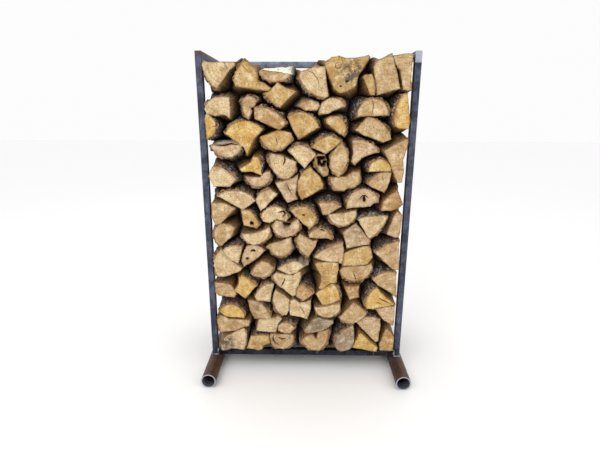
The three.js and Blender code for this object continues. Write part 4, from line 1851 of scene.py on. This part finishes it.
    def volume(self, points: np.ndarray, faces: list) -> float:
        """Measures the volume of a closed mesh of quads.

        Args:
            points: Its points.
            faces: Corner numbers of each quad.

        Returns:
            The volume, positive when its faces point out.
        """
        a, b, c, d = (points[[face[corner] for face in faces]] for corner in range(4))
        first = np.einsum("ij,ij->i", a, np.cross(b, c))
        second = np.einsum("ij,ij->i", a, np.cross(c, d))
        return float((first + second).sum() / 6)

    def joints(self) -> list[Vector]:
        """Finds the welded joints.

        Returns:
            The place of each joint.
        """
        back_y = -self.front_y
        return [Vector((x, y, z)) for x in (-self.inner_x, self.inner_x)
                for y, z in ((self.front_y, self.foot_z), (back_y, self.foot_z),
                             (self.front_y, self.foot_z + self.tube), (back_y, self.top_z))]

    def marks(self, node: str, points: np.ndarray) -> dict[str, np.ndarray]:
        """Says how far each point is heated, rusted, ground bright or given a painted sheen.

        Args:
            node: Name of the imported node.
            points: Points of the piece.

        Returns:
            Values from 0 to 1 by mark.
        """
        heat = np.zeros(len(points))
        for joint in self.joints():
            away = np.linalg.norm(points - np.array(joint), axis=1)
            heat = np.maximum(heat, 1 - smooth_step(away, self.heat_core, self.heat_reach))
        below_top = self.top_z - points[:, 2]
        rust = np.zeros(len(points))
        ground_and_sheen = np.zeros(len(points))
        if node in ("post_front_left", "top_rail_left"):
            near_front = 1 - smooth_step(points[:, 1] - self.front_y, 30 * MM, 120 * MM)
            rust = 0.8 * (1 - smooth_step(below_top, 2 * MM, 20 * MM)) * near_front
            heat *= 1.0 if node.startswith("post") else 0.6
        if node == "post_front_right":
            ground_and_sheen = 0.62 * (1 - smooth_step(below_top, 34 * MM, 50 * MM))
        if node.startswith("foot_pipe"):
            end = np.abs(points[:, 1]).max() - np.abs(points[:, 1])
            across = (points[:, 0] - np.median(points[:, 0])) / self.tube
            stripe = np.exp(-((across - 0.1) / 0.45) ** 2) * (points[:, 2] > 1.4 * self.tube)
            wall_only = np.hypot(across * self.tube, points[:, 2] - points[:, 2].max() / 2)
            cut = (end < 0.5 * MM) & (wall_only > self.tube)
            rust = np.maximum(0.3 * (points[:, 2] > self.tube), 0.7 * stripe)
            bore = (wall_only < 0.97 * (points[:, 2].max() / 2 - self.pipe_wall / 2))
            # Painted sheen: the lower inside of each pipe near its open ends is painted pale like a
            # reflection.
            lit = (1 - smooth_step(end, 10 * MM, 120 * MM)) * (points[:, 2] < points[:, 2].max() * 0.55)
            ground_and_sheen = np.where(cut, 0.9, np.where(bore, 0.62 * lit, 0.0))
        return {"heat": heat, "rust": rust, "ground_and_sheen": ground_and_sheen}


@dataclass
class WeldBeads:
    """Weld ripples along the seams of the rack, made by Geometry Nodes."""

    rack: SteelRack
    gap: float = 1.7 * MM
    radius: float = 2.6 * MM
    seed: int = 11

    def seams(self) -> list[list[Vector]]:
        """Runs of points along every welded seam.

        Returns:
            One list of points for each seam.
        """
        rack, runs = self.rack, []
        sink = 0.8 * MM
        for side_x in (-1, 1):
            inner, outer = side_x * rack.inner_x, side_x * rack.outer_x
            for side_y in (-1, 1):
                face = side_y * (-rack.front_y)
                behind = face - side_y * rack.tube
                low, high = rack.foot_z, rack.foot_z + rack.tube
                runs.append([Vector((inner, face - side_y * sink, low + 2 * MM)),
                             Vector((inner, face - side_y * sink, high - 3 * MM))])
                runs.append([Vector((inner, face, high - sink)), Vector((inner, behind, high - sink))])
                runs.append([Vector((outer - side_x * 3 * MM, face, low)),
                             Vector((inner + side_x * 3 * MM, face, low))])
                runs.append([Vector((outer, face, low - 2 * MM)), Vector((outer, behind, low - 2 * MM))])
            top, under = rack.top_z - 3 * MM, rack.top_z - rack.tube + 3 * MM
            back = -rack.front_y - sink
            runs.append([Vector((inner, back, top)), Vector((inner, back, under))])
            runs.append([Vector((inner, back - 3 * MM, under - 3 * MM)),
                         Vector((inner, back - rack.tube, under - 3 * MM))])
        return runs

    def tree(self, metal: bpy.types.Material) -> bpy.types.NodeTree:
        """Builds the node tree that strings ripples along a curve.

        Args:
            metal: The beads' material.

        Returns:
            The tree, with its sizes as named inputs.
        """
        board = GeometryBoard("weld_ripples", {"Seams": "Geometry", "Ripple gap": "Float",
                                               "Bead radius": "Float", "Seed": "Int"}, "Beads")
        given = board.start.outputs
        spaced = board.add("GeometryNodeResampleCurve",
                           {"Curve": given["Seams"], "Length": given["Ripple gap"]}, mode="LENGTH")
        ball = board.add("GeometryNodeMeshIcoSphere",
                         {"Subdivisions": 3, "Radius": given["Bead radius"]})
        heading = board.add("GeometryNodeInputTangent")
        turn = board.add("FunctionNodeAlignRotationToVector", {"Vector": heading.outputs[0]})
        size = board.spread((0.6, 0.6, 0.45), (1.6, 1.6, 1.0), {"Seed": given["Seed"]})
        strung = board.add("GeometryNodeInstanceOnPoints",
                           {"Points": spaced.outputs[0], "Instance": ball.outputs["Mesh"],
                            "Rotation": turn.outputs[0], "Scale": size})
        real = board.add("GeometryNodeRealizeInstances", {0: strung.outputs[0]})
        smooth = board.add("GeometryNodeSetShadeSmooth", {0: real.outputs[0]})
        return board.dressed(smooth.outputs[0], metal)

    def build(self) -> bpy.types.Object:
        """Builds the beads.

        Returns:
            All the beads as one plain mesh.
        """
        curve = bpy.data.curves.new("weld_seams", "CURVE")
        curve.dimensions = "3D"
        for run in self.seams():
            spline = curve.splines.new("POLY")
            spline.points.add(len(run) - 1)
            for spot, point in zip(spline.points, run):
                spot.co = (*point, 1.0)
        source = bpy.data.objects.new("weld_seams", curve)
        bpy.context.scene.collection.objects.link(source)
        tree = self.tree(WeldMetal().material())
        values = {"Ripple gap": self.gap, "Bead radius": self.radius, "Seed": self.seed}
        return realised(source, tree, values, "weld_beads")


@dataclass
class BarkCrumbs:
    """Loose flakes of bark on the round sides of the logs, scattered by Geometry Nodes."""

    name: str
    patch: bpy.types.Object
    per_square_metre: float = 11500.0
    flake: float = 2.3 * MM
    seed: int = 5

    def material(self) -> bpy.types.Material:
        """Builds the flakes' finish.

        Returns:
            The finished material.
        """
        sketch = Sketch(self.name)
        place = sketch.place()
        cloud = sketch.noise(place, 210, 3, 0.6)
        patches = sketch.noise(place, 30, 3, 0.6)
        brown = sketch.blend(sketch.ramp(cloud, 0.4, 0.62), BARK_DARK, BARK_MID)
        colour = sketch.blend(sketch.ramp(cloud, 0.56, 0.74), brown, BARK_GREY)
        pale = sketch.math("MULTIPLY", sketch.ramp(patches, 0.54, 0.62), sketch.ramp(cloud, 0.4, 0.55))
        colour = sketch.blend(pale, colour, LICHEN)
        return sketch.finish(colour, 0.92)

    def tree(self) -> bpy.types.NodeTree:
        """Builds the node tree that scatters flakes over a patch of bark.

        Returns:
            The tree, with its sizes as named inputs.
        """
        board = GeometryBoard(self.name, {"Bark": "Geometry", "Flakes per area": "Float",
                                          "Flake size": "Float", "Seed": "Int"}, "Flakes")
        given = board.start.outputs
        spread = board.add("GeometryNodeDistributePointsOnFaces",
                           {"Mesh": given["Bark"], "Density": given["Flakes per area"],
                            "Seed": given["Seed"]})
        chip = board.add("GeometryNodeMeshIcoSphere", {"Subdivisions": 1, "Radius": given["Flake size"]})
        size = board.spread((0.5, 0.7, 0.3), (1.3, 2.6, 0.75), {"Seed": given["Seed"]})
        tip = board.spread((-0.35, -0.35, -0.4), (0.35, 0.35, 0.4), {})
        turn = board.add("FunctionNodeRotateRotation", {0: spread.outputs["Rotation"], 1: tip},
                         rotation_space="LOCAL")
        strewn = board.add("GeometryNodeInstanceOnPoints",
                           {"Points": spread.outputs["Points"], "Instance": chip.outputs["Mesh"],
                            "Rotation": turn.outputs[0], "Scale": size})
        real = board.add("GeometryNodeRealizeInstances", {0: strewn.outputs[0]})
        return board.dressed(real.outputs[0], self.material())

    def build(self) -> bpy.types.Object:
        """Builds the flakes as one plain mesh."""
        values = {"Flakes per area": self.per_square_metre, "Flake size": self.flake,
                  "Seed": self.seed}
        return realised(self.patch, self.tree(), values, self.name)


# ---- Studio ----

@dataclass(frozen=True)
class SoftLight:
    """A large soft light that faces the rack."""

    name: str
    place: tuple[float, float, float]
    size: float
    power: float


STUDIO_LIGHTS = (SoftLight("key", (-1.5, -2.6, 2.9), 1.8, 26), SoftLight("fill", (2.4, -2.4, 1.8), 2.2, 8),
                 SoftLight("top", (0.0, 0.2, 3.4), 2.4, 12))


@dataclass
class Studio:
    """Pale floor, soft light and the camera."""

    camera_place: tuple[float, float, float] = (-0.003, -1.745, 1.083)
    lens: float = 24.53
    pitch: float = math.radians(15.50)
    yaw: float = math.radians(-0.87)
    roll: float = math.radians(-0.17)
    sensor: float = 36
    aim: tuple[float, float, float] = (0, 0, 0.65)
    sky: float = 0.98
    floor_reach: float = 14.0

    def build(self) -> None:
        """Builds the studio and reports it."""
        self.add_camera()
        self.add_floor()
        for light in STUDIO_LIGHTS:
            self.add_light(light)
        world = bpy.data.worlds.new("studio")
        world.use_nodes = True
        background = world.node_tree.nodes["Background"]
        background.inputs["Color"].default_value = (1, 1, 1, 1)
        background.inputs["Strength"].default_value = self.sky
        bpy.context.scene.world = world
        bpy.context.scene.view_settings.view_transform = "Standard"
        LOG.info("studio built")

    def add_camera(self) -> None:
        """Places the camera in front of the rack, looking slightly down."""
        ahead = Vector((math.sin(self.yaw) * math.cos(self.pitch),
                        math.cos(self.yaw) * math.cos(self.pitch), -math.sin(self.pitch)))
        right = Vector((math.cos(self.yaw), -math.sin(self.yaw), 0))
        down = ahead.cross(right)
        across = right * math.cos(self.roll) + down * math.sin(self.roll)
        drop = down * math.cos(self.roll) - right * math.sin(self.roll)
        turn = Matrix((across, -drop, -ahead)).transposed()
        data = bpy.data.cameras.new("camera")
        data.lens = self.lens
        data.sensor_width = self.sensor
        camera = bpy.data.objects.new("camera", data)
        camera.matrix_world = Matrix.Translation(self.camera_place) @ turn.to_4x4()
        bpy.context.scene.collection.objects.link(camera)
        bpy.context.scene.camera = camera

    def add_floor(self) -> None:
        """Lays a pale floor."""
        sketch = Sketch("studio_floor")
        finish = sketch.finish(srgb(252, 252, 252), 0.7)
        size = self.floor_reach
        corners = [(-size, -size, 0), (size, -size, 0), (size, size, 0), (-size, size, 0)]
        make_piece("floor", corners, [(0, 1, 2, 3)], [finish])

    def add_light(self, soft: SoftLight) -> None:
        """Adds a light.

        Args:
            soft: What the light is like.
        """
        data = bpy.data.lights.new(soft.name, "AREA")
        data.size = soft.size
        data.energy = soft.power
        light = bpy.data.objects.new(soft.name, data)
        aim = Vector(self.aim) - Vector(soft.place)
        turn = aim.to_track_quat("-Z", "Y").to_matrix().to_4x4()
        light.matrix_world = Matrix.Translation(soft.place) @ turn
        bpy.context.scene.collection.objects.link(light)


def main() -> None:
    """Builds the studio, the rack and the logs."""
    logging.basicConfig(level=logging.INFO, format="%(name)s: %(message)s")
    Studio().build()
    rack = SteelRack()
    rack.build()
    gap = 0.3 * MM
    floor = rack.foot_z + rack.tube + gap
    stack = LogStack(half_width=rack.inner_x - gap, floor=floor, ceiling=rack.top_z)
    stack.build()
    stack.build_crumbs()


if __name__ == "__main__":
    main()
